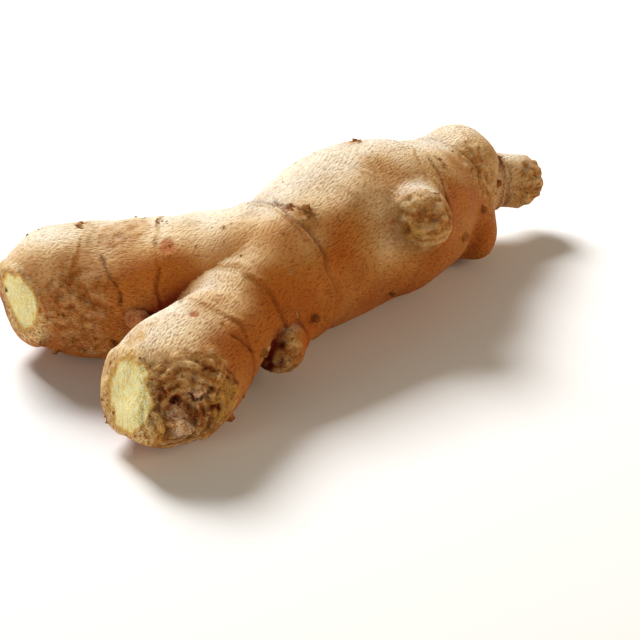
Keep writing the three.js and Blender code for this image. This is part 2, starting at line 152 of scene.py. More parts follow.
SCARS = [  # limb, middle of the broken face, the way it faces, its rim, the flesh's middle and radius
    ("left_finger", (-70.4, 23, 15.1), (-0.985, -0.1, -0.12), 0.7, (-70.2, 20.2, 17.4), 7),
    ("front_toe", (-64.3, -23.3, 15), (-0.966, -0.03, 0.26), 0.6, (-63.3, -27.4, 15), 8.3),
    ("back_stub", (10, 47.2, 11), (-0.2, 0.97, -0.1), 0.6, (10, 47.2, 11), 4.6),
]
DENTS = [  # middle and radius of a ball that presses into the skin
    ((-52.5, -42.3, 15.2), 7), ((-44.5, -44, 13.5), 9.2), ((19.3, -14.3, 33), 7),
]
BARK = [  # middle and radius of a ball that reaches the skin, the bumps' height, and how brown it is
    ((-61, 9, 20), 8, 0.5, 0.6), ((-60, 9, 11), 7, 0.5, 0.5), ((-52, -36, 14), 13, 0.9, 0.85),
    ((55, 17, 26), 9.5, 0.4, 0.6), ((77, 26, 13.5), 9.5, 0.6, 0.85), ((21.8, -8.3, 29.2), 8.2, 0.5, 0.8),
    ((-46, 14, 31), 7, 0.2, 0.35), ((-24.5, -21, 9.5), 6.5, 0.6, 0.8),
]
BARK_PITCH = 4.2  # mm from bump to bump
WAVE_HEIGHT, WAVE_LENGTH = 0.45, 17  # mm, of the slow swells that keep the whole skin uneven
print("rings", len(RINGS), "scars", len(SCARS), "dents", len(DENTS), "bark patches", len(BARK))

# %% [markdown]
# ## Hand the rings and scars to their limbs
# A ring's place is a number of stations along its limb's line, so it stays on the limb when a station
# moves. Each ring now gets the centre, the radius and the direction of the line at its place. Every limb
# keeps a list of its own rings and scars, because a ring round the trunk must not mark a finger that lies
# beside it.

# %% Rings and scars on the limbs
def unit(v):
    """The vectors in v at length 1."""
    v = np.asarray(v, float)
    return v / np.maximum(np.linalg.norm(v, axis=-1, keepdims=True), 1e-9)


for name, place, lean, lip, shown in RINGS:
    points = LIMBS[name]["points"]
    index = int(place * STEPS_PER_SPAN)
    along = unit(points[index + 1, :3] - points[index, :3])
    ring = dict(centre=points[index, :3], radius=points[index, 3], facing=unit(along + lean), lip=lip,
                shown=unit(shown))
    LIMBS[name].setdefault("rings", []).append(ring)
for name, centre, facing, rim, flesh_centre, flesh_radius in SCARS:
    scar = dict(centre=np.array(centre), facing=unit(facing), rim=rim, flesh_centre=np.array(flesh_centre),
                flesh_radius=flesh_radius)
    LIMBS[name].setdefault("scars", []).append(scar)
print("limbs with a ring", [name for name, limb in LIMBS.items() if "rings" in limb])

# %% [markdown]
# ## Three small formulas
# Everything on this root is built from a few curves. A bell makes a lip or a groove, crossed sine waves
# make soft swells, and a smooth minimum joins two surfaces and rounds the corner between them. Each one
# takes whole arrays, so that it works on all the points at once.

# %% Bell, crossed waves and smooth minimum
def bell(x):
    """A bump that is 1 at 0 and falls to nothing by about 2: e to the power of minus x squared."""
    return np.exp(-x * x)


def crossed_waves(p, wavelength):
    """Half the sum of three products of sine waves that run across each other: mostly between -1 and 1."""
    k = 2 * math.pi / wavelength
    x, y, z = p.T
    return (np.sin(k * x + 1) * np.cos(1.13 * k * y + 2) + np.sin(k * y + 3) * np.cos(0.91 * k * z)
            + np.sin(1.07 * k * z + 5) * np.cos(0.87 * k * x + 4)) / 2


def smooth_min(a, b, k):
    """The lower of a and b, less a quarter of k times the square of the share of k that their gap leaves."""
    h = np.maximum(k - np.abs(a - b), 0) / k
    return np.minimum(a, b) - h * h * k / 4


print("smooth minimum of 1 and 1.2 over a width of 2:", round(float(smooth_min(1, 1.2, 2)), 3))

# %% [markdown]
# ## The distance to one limb
# A distance formula tells how far a point is from the skin: negative inside, zero on it. A limb is a
# chain of balls whose radius changes evenly between them. There is no loop over points, only over the
# short pieces of the limb. Rings raise the skin by bells, and a scar cuts it off with a smooth maximum,
# which is a smooth minimum turned round.

# %% The distance to a limb
FAR = 12  # mm; beyond this a rough distance will do


def limb_distance(p, limb):
    """Distance to a chain of balls: to the nearest point of each piece's line, less the radius there."""
    distance = np.linalg.norm(p - limb["middle"], axis=1) - limb["reach"]
    near = distance < FAR
    q = p[near]
    best = np.full(len(q), np.inf)
    for a, b in zip(limb["points"], limb["points"][1:]):
        span = b[:3] - a[:3]
        offset = q - a[:3]
        t = np.clip(offset @ span / (span @ span), 0, 1)
        away = np.linalg.norm(offset - t[:, None] * span, axis=1)
        best = np.minimum(best, away - a[3] - t * (b[3] - a[3]))
    distance[near] = best
    return distance


def ring_place(p, ring):
    """How far p lies beyond the ring's wavy plane, towards the tip, and the ring's weight there."""
    offset = p - ring["centre"]
    near = np.clip(3.6 - 2 * np.linalg.norm(offset, axis=1) / ring["radius"], 0, 1)
    return offset @ ring["facing"] + 0.9 * crossed_waves(p, 11), near


def dressed_limb(p, limb):
    """A limb's distance with its rings raised by bell-shaped lips and its scars cut by smooth maximums."""
    d = limb_distance(p, limb)
    for ring in limb.get("rings", ()):
        q, near = ring_place(p, ring)
        d = d - near * ring["lip"] * (bell(q / LIP_WIDTH) - 0.6 * bell((q - GROOVE_AT) / LIP_WIDTH))
    for scar in limb.get("scars", ()):
        beyond = (p - scar["centre"]) @ scar["facing"] + 0.5 * crossed_waves(p, 9)
        d = -smooth_min(scar["rim"] * bell((beyond + 1.2) / 1.2) - d, -beyond, 0.8)
    return d


trunk_middle = np.array([LIMBS["trunk"]["points"][2 * STEPS_PER_SPAN, :3]])
print("distance to the trunk at its middle", limb_distance(trunk_middle, LIMBS["trunk"]).round(2), "mm")

# %% [markdown]
# ## One distance for the whole root
# Each limb melts into its parent with a smooth minimum, and the lowest of all is the root. Dents and bark
# are added last, because they run over the joins. The slope of the formula points straight out of the
# skin, and a few steps along it bring any point onto the skin.

# %% The distance to the root
def bark_at(p, centre, radius):
    """How strongly a bark patch counts at p: 1 in its middle half, fading to 0 at its radius."""
    return np.clip(2 - 2 * np.linalg.norm(p - centre, axis=1) / radius, 0, 1)


def root_distance(p):
    """The lowest of every limb's smooth minimum with its parent, less slow waves and bark bumps."""
    own = {name: dressed_limb(p, limb) for name, limb in LIMBS.items()}
    d = own["trunk"]
    for name, limb in LIMBS.items():
        if limb["parent"]:
            d = np.minimum(d, smooth_min(own[limb["parent"]], own[name], limb["blend"]))
    d = d - WAVE_HEIGHT * crossed_waves(p, WAVE_LENGTH)
    for centre, radius in DENTS:
        d = -smooth_min(-d, np.linalg.norm(p - centre, axis=1) - radius, 1.5)
    for centre, radius, bump, _ in BARK:
        d = d - bump * bark_at(p, centre, radius) * crossed_waves(p, BARK_PITCH)
    return d


def slope_at(p, here):
    """The direction in which the distance grows, from three small steps."""
    step = 0.03
    return np.stack([(root_distance(p + step * axis) - here) / step for axis in np.eye(3)], axis=1)


def onto_skin(p, rounds):
    """Moves points onto the skin, each time by the distance over the slope, and at most 1 mm."""
    for _ in range(rounds):
        d = root_distance(p)
        g = slope_at(p, d)
        move = np.clip(d / np.maximum((g * g).sum(axis=1), 0.3), -1, 1)
        p = p - move[:, None] * g
    return p


print("distance to the root at the trunk's middle", root_distance(trunk_middle).round(2), "mm")

# %% [markdown]
# ## Sample the formula on a grid
# To make a mesh, the distance is worked out at the nodes of a fine grid. Most of the nodes are far from
# the skin, where the exact value doesn't matter. So a coarse grid is worked out first, and the full
# formula is used only at the fine nodes near the skin.

# %% A grid of distances
CELL = 0.62  # mm
COARSE = 4  # fine cells along each coarse one
LOW, HIGH = np.array([-78.0, -46.0, -3.0]), np.array([86.0, 54.0, 46.0])


def grid_points(axes):
    """Every combination of the three axes' values, as rows."""
    return np.stack(np.meshgrid(*axes, indexing="ij"), axis=-1).reshape(-1, 3)


def sampled(low, high, cell, coarse):
    """The distance at a grid's nodes: exact near the skin, and the nearest coarse node's value elsewhere."""
    count = np.ceil((high - low) / cell).astype(int) + 1
    wide = [low[i] + cell * coarse * np.arange(count[i] // coarse + 2) for i in range(3)]
    rough = root_distance(grid_points(wide)).reshape([len(a) for a in wide])
    nearest = [np.round(np.arange(n) / coarse).astype(int) for n in count]
    value = rough[np.ix_(*nearest)].copy()
    band = np.abs(value) < cell * (coarse + 2)
    value[band] = root_distance(low + cell * np.argwhere(band))
    print("grid", tuple(int(n) for n in count), "nodes worked out in full", int(band.sum()))
    return value


distances = sampled(LOW, HIGH, CELL, COARSE)

# %% [markdown]
# ## Surface nets
# Surface nets turn a grid of distances into quads. Every cell that the skin crosses gets one vertex, and
# cells that share a crossed edge are joined by a face. Marching cubes would also do it, but it leaves
# slivers, and a Remesh modifier would need a mesh to start from.

# %% Surface nets
def surface_nets(value, low, cell):
    """Vertices at the mean of each mixed cell's edge crossings, and a quad round every crossed grid edge."""
    inside = value < 0
    halves = [slice(None, -1), slice(1, None)]
    corners = [inside[a, b, c] for a in halves for b in halves for c in halves]
    mixed = np.any(corners, axis=0) & ~np.all(corners, axis=0)
    cells = np.argwhere(mixed)
    number = np.full(mixed.shape, -1)
    number[mixed] = np.arange(len(cells))
    total, crossings = np.zeros((len(cells), 3)), np.zeros(len(cells))
    faces = []
    for axis in range(3):
        e, b, c = np.eye(3, dtype=int)[[axis, (axis + 1) % 3, (axis + 2) % 3]]
        for corner in (0 * b, b, c, b + c):
            start = cells + corner
            v0, v1 = value[tuple(start.T)], value[tuple((start + e).T)]
            crossed = (v0 < 0) != (v1 < 0)
            share = v0[crossed] / (v0[crossed] - v1[crossed])
            total[crossed] += start[crossed] + share[:, None] * e
            crossings[crossed] += 1
        before = inside[tuple(slice(1, -1 - k) for k in e)]
        after = inside[tuple(slice(1 + k, -1) for k in e)]
        edges = np.argwhere(before != after) + 1
        quad = np.stack([number[tuple((edges - d).T)] for d in (b + c, c, 0 * c, b)], axis=1)
        out = inside[tuple(edges.T)]
        faces.append(np.where(out[:, None], quad, quad[:, ::-1]))
    return low + cell * total / crossings[:, None], np.concatenate(faces)


skin_points, skin_faces = surface_nets(distances, LOW, CELL)
print("vertices", len(skin_points), "triangles", 2 * len(skin_faces))

# %% [markdown]
# ## Even out the quads
# The net's vertices lie near the skin, but not on it, and its quads are uneven. Each vertex slides
# towards the middle of its neighbours and is brought back onto the skin. A Smooth modifier would do the
# first half, but it would also shrink the fingers.

# %% Relax the mesh on the skin
def relaxed(vertices, faces, rounds):
    """Slides each vertex half way to its neighbours' mean, then back onto the skin, to even out the quads."""
    for _ in range(rounds):
        following = np.roll(faces, -1, axis=1).ravel()
        sums = [np.bincount(faces.ravel(), vertices[following, i], len(vertices)) for i in range(3)]
        count = np.bincount(faces.ravel(), minlength=len(vertices))
        neighbours = np.stack(sums, axis=1) / np.maximum(count, 1)[:, None]
        vertices = onto_skin((vertices + neighbours) / 2, 1)
    return vertices


skin_points = relaxed(onto_skin(skin_points, 2), skin_faces, 2)
off_skin = root_distance(skin_points)
print("farthest vertex from the skin", np.abs(off_skin).max().round(3), "mm")

# %% [markdown]
# ## Noise for the fine relief
# Real skin is never even. Value noise gives each corner of a lattice a random number and blends between
# them, and adding finer and fainter layers makes it look grown. Blender's Displace modifier could do this
# with a texture, but in numpy each layer can follow a mask, so bark is rougher than skin. The hash makes
# the same numbers on every run.

# %% Layered value noise
def lattice_value(cells, seed):
    """A number from -1 to 1 for each cell: its place times large primes, mixed and cut to 16 bits."""
    x, y, z = cells.astype(np.int64).T
    mixed = (x * 73856093) ^ (y * 19349663) ^ (z * 83492791) ^ (seed * 2654435761)
    mixed = (mixed ^ (mixed >> 13)) * 1274126177
    return ((mixed ^ (mixed >> 16)) & 0xFFFF) / 32767.5 - 1


def noise(p, size, seed):
    """Value noise: the eight corner numbers of each cell, blended by a smooth step along each axis."""
    q = np.asarray(p) / size
    cell = np.floor(q)
    t = q - cell
    t = t * t * (3 - 2 * t)
    total = np.zeros(len(q))
    for corner in np.array([(a, b, c) for a in (0, 1) for b in (0, 1) for c in (0, 1)]):
        weight = np.where(corner, t, 1 - t).prod(axis=1)
        total += weight * lattice_value(cell + corner, seed)
    return total


def layered_noise(p, size, layers, seed):
    """Noise plus finer copies of itself, each half the size and half the height."""
    return sum(noise(p, size / 2**i, seed + i) / 2**i for i in range(layers)) / (2 - 2 / 2**layers)


print("noise at the first points", noise(skin_points[:3], 3, 1).round(2))

# %% [markdown]
# ## Masks of scars, bark and rings
# Each vertex gets a few numbers from 0 to 1: broken flesh, the rim of a scar, bark, and the dark line of
# a ring. Painting them by hand as vertex colours would work for one mesh only. Worked out from the same
# places as the shape, they always fit it, and noise makes their edges ragged, as they are on a real root.

# %% Masks of scars, bark and rings
def ramp(x, low, high):
    """0 below low, 1 above high, and a smooth step between."""
    t = np.clip((x - low) / (high - low), 0, 1)
    return t * t * (3 - 2 * t)


def scar_masks(p):
    """Flesh: 1 on a broken face, within the flesh's radius. Rim: 1 on the rest of it and round its edge."""
    flesh, rim = np.zeros(len(p)), np.zeros(len(p))
    for limb in LIMBS.values():
        for scar in limb.get("scars", ()):
            ragged = layered_noise(p, 3, 3, 5)
            beyond = (p - scar["centre"]) @ scar["facing"] + 0.5 * crossed_waves(p, 9) + 0.5 * ragged
            streaks = layered_noise(p * (1, 1, 0.35), 1.6, 3, 6)
            inwards = scar["flesh_radius"] - np.linalg.norm(p - scar["flesh_centre"], axis=1) + 1.8 * streaks
            on_face = ramp(beyond + 0.8 * streaks, -2.4, -1.2) * (inwards > -8)
            flesh = np.maximum(flesh, on_face * ramp(inwards, -0.6, 1.4))
            rim = np.maximum(rim, ramp(beyond, -4.4, -1.8) * ramp(inwards, -5.5, -2.5))
    return flesh, rim * (1 - flesh)


def bark_mask(p):
    """The strongest bark patch at each point, with edges made ragged by noise."""
    ragged = 0.45 * layered_noise(p, 7, 4, 9)
    patches = [brown * ramp(bark_at(p, centre, 1.3 * radius) + ragged, 0.2, 0.9)
               * (bark_at(p, centre, 1.3 * radius) > 0) for centre, radius, _, brown in BARK]
    return np.max(patches, axis=0)


def ring_mask(p, width):
    """The dark line in each ring's groove: a narrow bell round the groove, broken up by noise."""
    mask = np.zeros(len(p))
    for limb in LIMBS.values():
        on_limb = np.abs(limb_distance(p, limb)) < 2.5
        for ring in limb.get("rings", ()):
            q, near = ring_place(p, ring)
            shown = 0.15 + 0.85 * ramp(unit(p - ring["centre"]) @ ring["shown"], 0.1, 0.7)
            strength = np.clip(near * ring["lip"] * 2.6, 0, 1) * on_limb * shown
            mask = np.maximum(mask, strength * bell((q - 0.8 * GROOVE_AT) / width))
    return mask * ramp(layered_noise(p, 8, 3, 21), -0.75, 0.1)


flesh, rim = scar_masks(skin_points)
ring_line = ring_mask(skin_points, 0.4)
for name, mask in (("flesh", flesh), ("rims", rim), ("ring lines", ring_line)):
    print("share of", name, mask.mean().round(3))

# %% [markdown]
# ## Masks of painted shade and spots
# Painted shade is put into the folds between fingers, and painted light and shade make the skin pale
# where it faces up and browner on its flanks. A short walk outwards from the skin tells how deep a fold
# is: if the skin comes nearer than it should, something stands beside the point. Single spots have soft
# or ragged edges, and never a drawn outline.

# %% Masks of painted shade in folds and on flanks, and of spots
# Painted light and shade: skin that faces this way is painted palest, and skin that turns from it is painted
# browner.
PAINTED_LIGHT_SIDE = unit((-0.08, 0.5, 0.86))  # the way that the palest skin faces
# Spots are the middle and the radius of a ball. PALE spots lift the painted shade, partly as painted
# reflected light and partly as paler skin. BROWN spots add browner skin and painted shade.
PALE = [((65, 22, 21), 11), ((-55, -30, 24), 6), ((12, -3, 33), 7), ((13, -9, 26), 7)]
BROWN = [((-2, 0.5, 36), 9), ((-46, 13, 32), 9), ((-20, -4, 33), 8), ((56, 22, 31), 8)]
CLEAN = [((63, 22.5, 20), 5)]  # smooth skin between two patches of bark
OCHRE = [((-45, -35.5, 13), 5.5), ((-62, -36, 11), 4), ((17, -9, 27), 3.5), ((-58.5, -20, 24), 3)]
PEELED = [((-39.7, 3.2, 32), 2.3), ((-9.6, 0.6, 35.5), 1.7), ((-8.3, -1.6, 34.9), 1.9),
          ((-44.5, -20, 26.5), 1.6)]


def fold_shade_mask(p, normals):
    """How deep a point lies in a fold, for the painted shade there: how much nearer than expected the skin
    is, on two walks outwards.
    """
    walks = (3, 7)
    return np.mean([np.clip(1 - root_distance(p + far * normals) / far, 0, 1) for far in walks], axis=0)


def spot_mask(p, spots, ragged):
    """1 inside any of the balls in spots, with an edge that the noise moves in and out."""
    shares = [ramp(1 - np.linalg.norm(p - centre, axis=1) / radius + ragged, 0, 0.3)
              for centre, radius in spots]
    return np.max(shares, axis=0)


def soft_spots(p, spots):
    """The strongest of the bells round the balls' middles, as wide as their radii."""
    return np.max([bell(np.linalg.norm(p - centre, axis=1) / radius) for centre, radius in spots], axis=0)


def painted_light_shade_mask(p, normals):
    """Painted light and shade, pale on top and brown on the flanks: a ramp on how far the skin turns from the
    painted light's side, plus wide noise.
    """
    finger = 0.15 * np.clip(-20 - p[:, 0], 0, 20) / 20
    flank = ramp(0.3 * layered_noise(p, 16, 3, 11) + finger - normals @ PAINTED_LIGHT_SIDE, -0.84, 0.02)
    flank = flank * (1 - 0.6 * soft_spots(p, PALE))
    return flank + 0.18 * (1 - flank) * soft_spots(p, BROWN)


skin_normals = unit(slope_at(skin_points, off_skin))
bark = bark_mask(skin_points) * (1 - flesh) * (1 - soft_spots(skin_points, CLEAN))
# Painted shade for the folds between fingers.
fold = fold_shade_mask(skin_points, skin_normals)
stain = painted_light_shade_mask(skin_points, skin_normals)
edge_noise = 0.3 * layered_noise(skin_points, 2.5, 3, 15)
ochre = spot_mask(skin_points, OCHRE, edge_noise) * (1 - flesh)
peeled = spot_mask(skin_points, PEELED, 1.6 * edge_noise)
for name, mask in (("bark", bark), ("folds", fold), ("stain", stain), ("ochre", ochre), ("peeled", peeled)):
    print("share of", name, mask.mean().round(3))

# %% [markdown]
# ## Wrinkles along each finger
# Skin shrinks as it dries, and its fine wrinkles run along each finger. Noise that is squeezed along an
# axis looks drawn out along it. The fingers point different ways, so each has its own drawn-out noise,
# and soft shares of nearness mix them where the fingers meet.

# %% Wrinkles
def finger_weights(p):
    """How much each point belongs to the left finger and to the front finger: soft shares of nearness."""
    groups = {"left": ["left_finger"], "front": ["front_finger", "front_toe"], "trunk": ["trunk", "far_knob"]}
    near = {k: np.min([limb_distance(p, LIMBS[n]) for n in names], axis=0) for k, names in groups.items()}
    shares = {k: np.exp(-np.clip(d, 0, 20) / 1.5) for k, d in near.items()}
    total = sum(shares.values())
    return shares["left"] / total, shares["front"] / total


left_share, front_share = finger_weights(skin_points)
GRAIN = {  # the long way of the skin's wrinkles
    "trunk": unit((0.86, 0.45, 0.1)), "left": unit((0.87, -0.49, 0.09)), "front": unit((0.76, 0.62, 0.1)),
}


def wrinkles(p, size, stretch, seed):
    """Noise drawn out along each finger: the points are squeezed along its axis before the noise is taken."""
    layers = {}
    for name, axis in GRAIN.items():
        squeezed = p - (1 - 1 / stretch) * (p @ axis)[:, None] * axis
        layers[name] = layered_noise(squeezed, size, 2, seed)
    trunk_share = 1 - left_share - front_share
    return trunk_share * layers["trunk"] + left_share * layers["left"] + front_share * layers["front"]


skin_wrinkles = wrinkles(skin_points, 1.4, 3.2, 31)
print("share of the left finger", left_share.mean().round(3), "of the front one", front_share.mean().round(3))

# %% [markdown]
# ## Cracks, folds and the curl
# A few cracks, raised folds and the curl of peel on the front end have places of their own. They could be
# drawn as curves and projected onto the mesh. Here each is a line between two points, and a bell of the
# distance to the line raises or sinks the skin. Noise bends the lines, so that none of them looks ruled.

# %% Lines on the skin
def segment_distance(p, normals, start, end):
    """Distance to the line between two points, and how far along it. Noise shifts the skin a little first,
    and most of the part along the normal is left out, because the skin bulges above a straight line."""
    shifted = p + 0.8 * np.stack([layered_noise(p, 4, 3, seed) for seed in (91, 92, 93)], axis=1)
    start, span = np.array(start), np.subtract(end, start)
    t = np.clip((shifted - start) @ span / (span @ span), 0, 1)
    offset = shifted - start - t[:, None] * span
    offset -= 0.8 * np.sum(offset * normals, axis=1)[:, None] * normals
    return np.linalg.norm(offset, axis=1), t


def line_mask(p, normals, lines, width):
    """1 along any of the lines, falling off as a bell to its sides and towards its ends."""
    mask = np.zeros(len(p))
    for start, end in lines:
        reach = 3 + np.linalg.norm(np.subtract(end, start))
        near = np.linalg.norm(p - np.add(start, end) / 2, axis=1) < reach
        away, t = segment_distance(p[near], normals[near], start, end)
        mask[near] = np.maximum(mask[near], bell(away / width) * np.clip(8 * t * (1 - t) + 0.2, 0, 1))
    return mask


CRACKS = [((-53.2, 11.6, 28.9), (-52.2, 3.9, 22.9)), ((-52.2, 3.9, 22.9), (-52.1, 2.9, 20.3)),
          ((-39.4, -26.5, 23.2), (-33, -26.1, 16.6)), ((-44, -33.2, 20.1), (-40.6, -33.3, 14.5)),
          ((-11.8, 6.5, 35.7), (-10.8, 2.5, 35.6)), ((-10.8, 2.5, 35.6), (-7.6, -2.3, 34.8)),
          ((33, 9.7, 36.3), (33.7, 4.3, 32.6)), ((33.7, 4.3, 32.6), (32.7, -1.1, 27.8)),
          ((-44.8, -13.9, 26.3), (-39.5, -6, 23.9)), ((-50, -34.2, 21.5), (-41.1, -33.3, 15.7)),
          ((-62.9, -32.7, 16.2), (-64.1, -34.6, 10.7)), ((-59.1, -34.9, 15.7), (-59.7, -36.4, 8.4))]
HOLLOWS = [((-56.8, -36.6, 14.6), (-53, -36.5, 13)), ((-53, -36.5, 13), (-52.5, -36, 9.5))]
LUMPS = [((-58.1, -35.9, 10.2), (-54.9, -35.6, 13)), ((-57, -36.2, 8.7), (-54.5, -36.4, 11.4)),
         ((-58, -35.5, 13), (-56.4, -35.4, 14.6)), ((-52.3, -35.3, 15), (-50.7, -35.6, 17.4))]
FOLDS = [((-61, -32.6, 18.3), (-52.2, -33.9, 21.3)), ((-59.8, -33.9, 15.9), (-50.8, -35.5, 18.8)),
         ((-62, -30, 20.5), (-54, -31.5, 23)), ((-54.3, -35.8, 7.5), (-43, -36, 10.5)),
         ((12.5, -5.3, 28.7), (15.7, -2.9, 32.7)), ((15.7, -2.9, 32.7), (21.2, -3.8, 34.7)),
         ((21.2, -3.8, 34.7), (25.2, -8.7, 32.4)), ((39.9, 10, 32.6), (46, 10.5, 24))]
crack = line_mask(skin_points, skin_normals, CRACKS, 0.34)
hollow = line_mask(skin_points, skin_normals, HOLLOWS, 1.1)
lump = line_mask(skin_points, skin_normals, LUMPS, 1.2)
folds = line_mask(skin_points, skin_normals, FOLDS, 0.8)
print("vertices on cracks", int((crack > 0.5).sum()), "on folds", int((folds > 0.5).sum()))

# %% [markdown]
# ## Crumpled bark
# Old ends dry into bark with rounded hills and sharp creases, and on the front end it folds round a
# hollow. A noise without its sign has creases wherever it passes zero, which plain noise lacks.

# %% Bark relief
def end_ridges(p):
    """Folds round the dried hollow in the front end: a sine of 3.2 times the distance from it, plus 3 times
    the angle round it, plus 5 times a noise, which fades out as a bell on both sides of 7 mm."""
    offset = p - np.array([-55, -36.5, 13])
    axis = unit((-0.1, -0.93, 0.34))
    across = unit(np.cross(axis, (0, 0, 1)))
    angle = np.arctan2(offset @ np.cross(axis, across), offset @ across)
    away = np.linalg.norm(offset, axis=1)
    swirl = 3.2 * away + 3 * angle + 5 * layered_noise(p, 6, 3, 81)
    return np.sin(swirl) * bell((away - 7) / 5)


def crumple(p):
    """Rounded hills with sharp creases: a noise without its sign, at two sizes, bent and drawn out."""
    bent = p + 1.2 * np.stack([layered_noise(p, 6, 2, seed) for seed in (94, 95, 96)], axis=1)
    squeezed = bent * (0.5, 0.8, 1.3)
    wide, narrow = layered_noise(squeezed, 2.6, 1, 51), layered_noise(squeezed, 1.3, 1, 52)
    return 1.4 * np.abs(wide) + np.abs(narrow) - 0.6


crust, ridges = crumple(skin_points), end_ridges(skin_points)
print("crust from", crust.min().round(2), "to", crust.max().round(2), "mean", crust.mean().round(2))

# %% [markdown]
# ## Raise the fine relief
# The vertices move along their normals by the sum of all these layers, each one weighed by its mask. A
# Displace modifier could do it for one layer at a time. What is finer than the mesh is left to the
# material's bump. Nothing may sink below the surface that the root lies on.

# %% Move the vertices
HEIGHT = dict(wrinkle=0.04, swell=0.16, crust=0.5, bark_swell=0.25, ridge=0.4, rim=0.45, fibre=0.3, curl=1.7,
              fold=0.45)  # mm
DEPTH = dict(flesh=0.5, hollow=0.9, crack=0.5, groove=0.2, peeled=0.3)  # mm
plain = (1 - flesh) * (1 - bark)
relief = plain * (HEIGHT["wrinkle"] * skin_wrinkles + HEIGHT["swell"] * layered_noise(skin_points, 9, 2, 41))
relief += bark * (HEIGHT["crust"] * crust + HEIGHT["bark_swell"] * layered_noise(skin_points, 6, 2, 53)
                  + HEIGHT["ridge"] * ridges)
relief += rim * (HEIGHT["rim"] * layered_noise(skin_points, 2, 3, 61) + 0.1)
relief += flesh * (HEIGHT["fibre"] * layered_noise(skin_points, 2.2, 3, 71) - DEPTH["flesh"])
relief += (HEIGHT["curl"] * lump * (1 + 0.5 * crust) + HEIGHT["fold"] * folds - DEPTH["hollow"] * hollow
           - DEPTH["crack"] * crack)
relief -= DEPTH["groove"] * ring_line + DEPTH["peeled"] * peeled
# The crests also set where the bark gets its painted highlight and its painted shade.
crest = ramp(crust + 0.6 * ridges + 0.8 * lump - 0.6 * hollow, -0.9, 0.9)
root_points = skin_points + relief[:, None] * skin_normals
root_points[:, 2] = np.maximum(root_points[:, 2], 0)
print("relief from", relief.min().round(2), "to", relief.max().round(2), "mm")

# %% [markdown]
# ## Make the mesh object
# A mesh needs its vertices and faces, and the masks go with it as named attributes, which a material
# reads with an Attribute node. foreach_set copies whole arrays, which is much faster than adding vertices
# one by one. The object stays at the origin, with its place in its mesh.

# %% Mesh objects from arrays
def piece(name, points, faces, attributes):
    """A mesh object from points in mm, arrays of faces with one column per corner, and attributes."""
    mesh = bpy.data.meshes.new(name)
    sizes = np.concatenate([np.full(len(group), group.shape[1]) for group in faces])
    mesh.vertices.add(len(points))
    mesh.vertices.foreach_set("co", ((np.asarray(points) - ORIGIN) * MM).astype(np.float32).ravel())
    mesh.loops.add(int(sizes.sum()))
    corners = np.concatenate([group.ravel() for group in faces])
    mesh.loops.foreach_set("vertex_index", corners.astype(np.int32))
    mesh.polygons.add(len(sizes))
    mesh.polygons.foreach_set("loop_start", (np.cumsum(sizes) - sizes).astype(np.int32))
    mesh.update(calc_edges=True)
    mesh.polygons.foreach_set("use_smooth", np.full(len(sizes), True))
    for key, values in attributes.items():
        attribute = mesh.attributes.new(key, "FLOAT", "POINT")
        attribute.data.foreach_set("value", np.asarray(values, np.float32))
    mesh.validate()
    obj = bpy.data.objects.new(name, mesh)
    bpy.context.scene.collection.objects.link(obj)
    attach(obj, "root")
    print(name, "triangles", sum(len(p.vertices) - 2 for p in mesh.polygons))
    return obj


root = piece("ginger_root", root_points, [skin_faces], {
    "flesh": flesh, "bark": bark, "ring_line": ring_line, "rim": rim, "fold": fold, "stain": stain,
    # The crack attribute also holds the dried hollow, so that painted shade darkens it.
    "ochre": ochre, "peeled": peeled, "crack": np.maximum(crack, 0.4 * hollow), "lump": lump, "crest": crest,
    "left_share": left_share, "front_share": front_share,
})
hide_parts("rhizome")

# %% [markdown]
# ## Shader sums as Python
# A material is a graph of nodes, and a graph of sums is hard to read. This small class wraps an output
# socket, so that an expression such as 1 - mask adds the Math nodes for it. The reflected forms, such as
# `__rsub__`, are for a plain number on the left.

# %% A wire
class Wire:
    """An output socket on which +, - and * add Math nodes."""

    def __init__(self, maker, socket):
        self.maker, self.socket = maker, socket

    def math(self, operation, *values, clamp=False):
        """A Math node with this operation on the values, as a new wire."""
        settings = {"operation": operation, "use_clamp": clamp}
        return self.maker.node("ShaderNodeMath", settings, dict(enumerate(values)))

    def __add__(self, other):
        return self.math("ADD", self, other)

    def __sub__(self, other):
        return self.math("SUBTRACT", self, other)

    def __rsub__(self, other):
        return self.math("SUBTRACT", other, self)

    def __mul__(self, other):
        return self.math("MULTIPLY", self, other)

    __radd__, __rmul__ = __add__, __mul__

    def clamped(self):
        """The same value, held between 0 and 1."""
        return self.math("ADD", self, 0, clamp=True)


print("a wire adds Math nodes for +, - and *")

# %% [markdown]
# ## A maker of materials
# One method adds any node: it takes the node's type, its settings, which are set first, and the values or
# links of its sockets. The short methods below it name the few nodes that this root needs again and
# again. Without them, each node would take five or six lines.

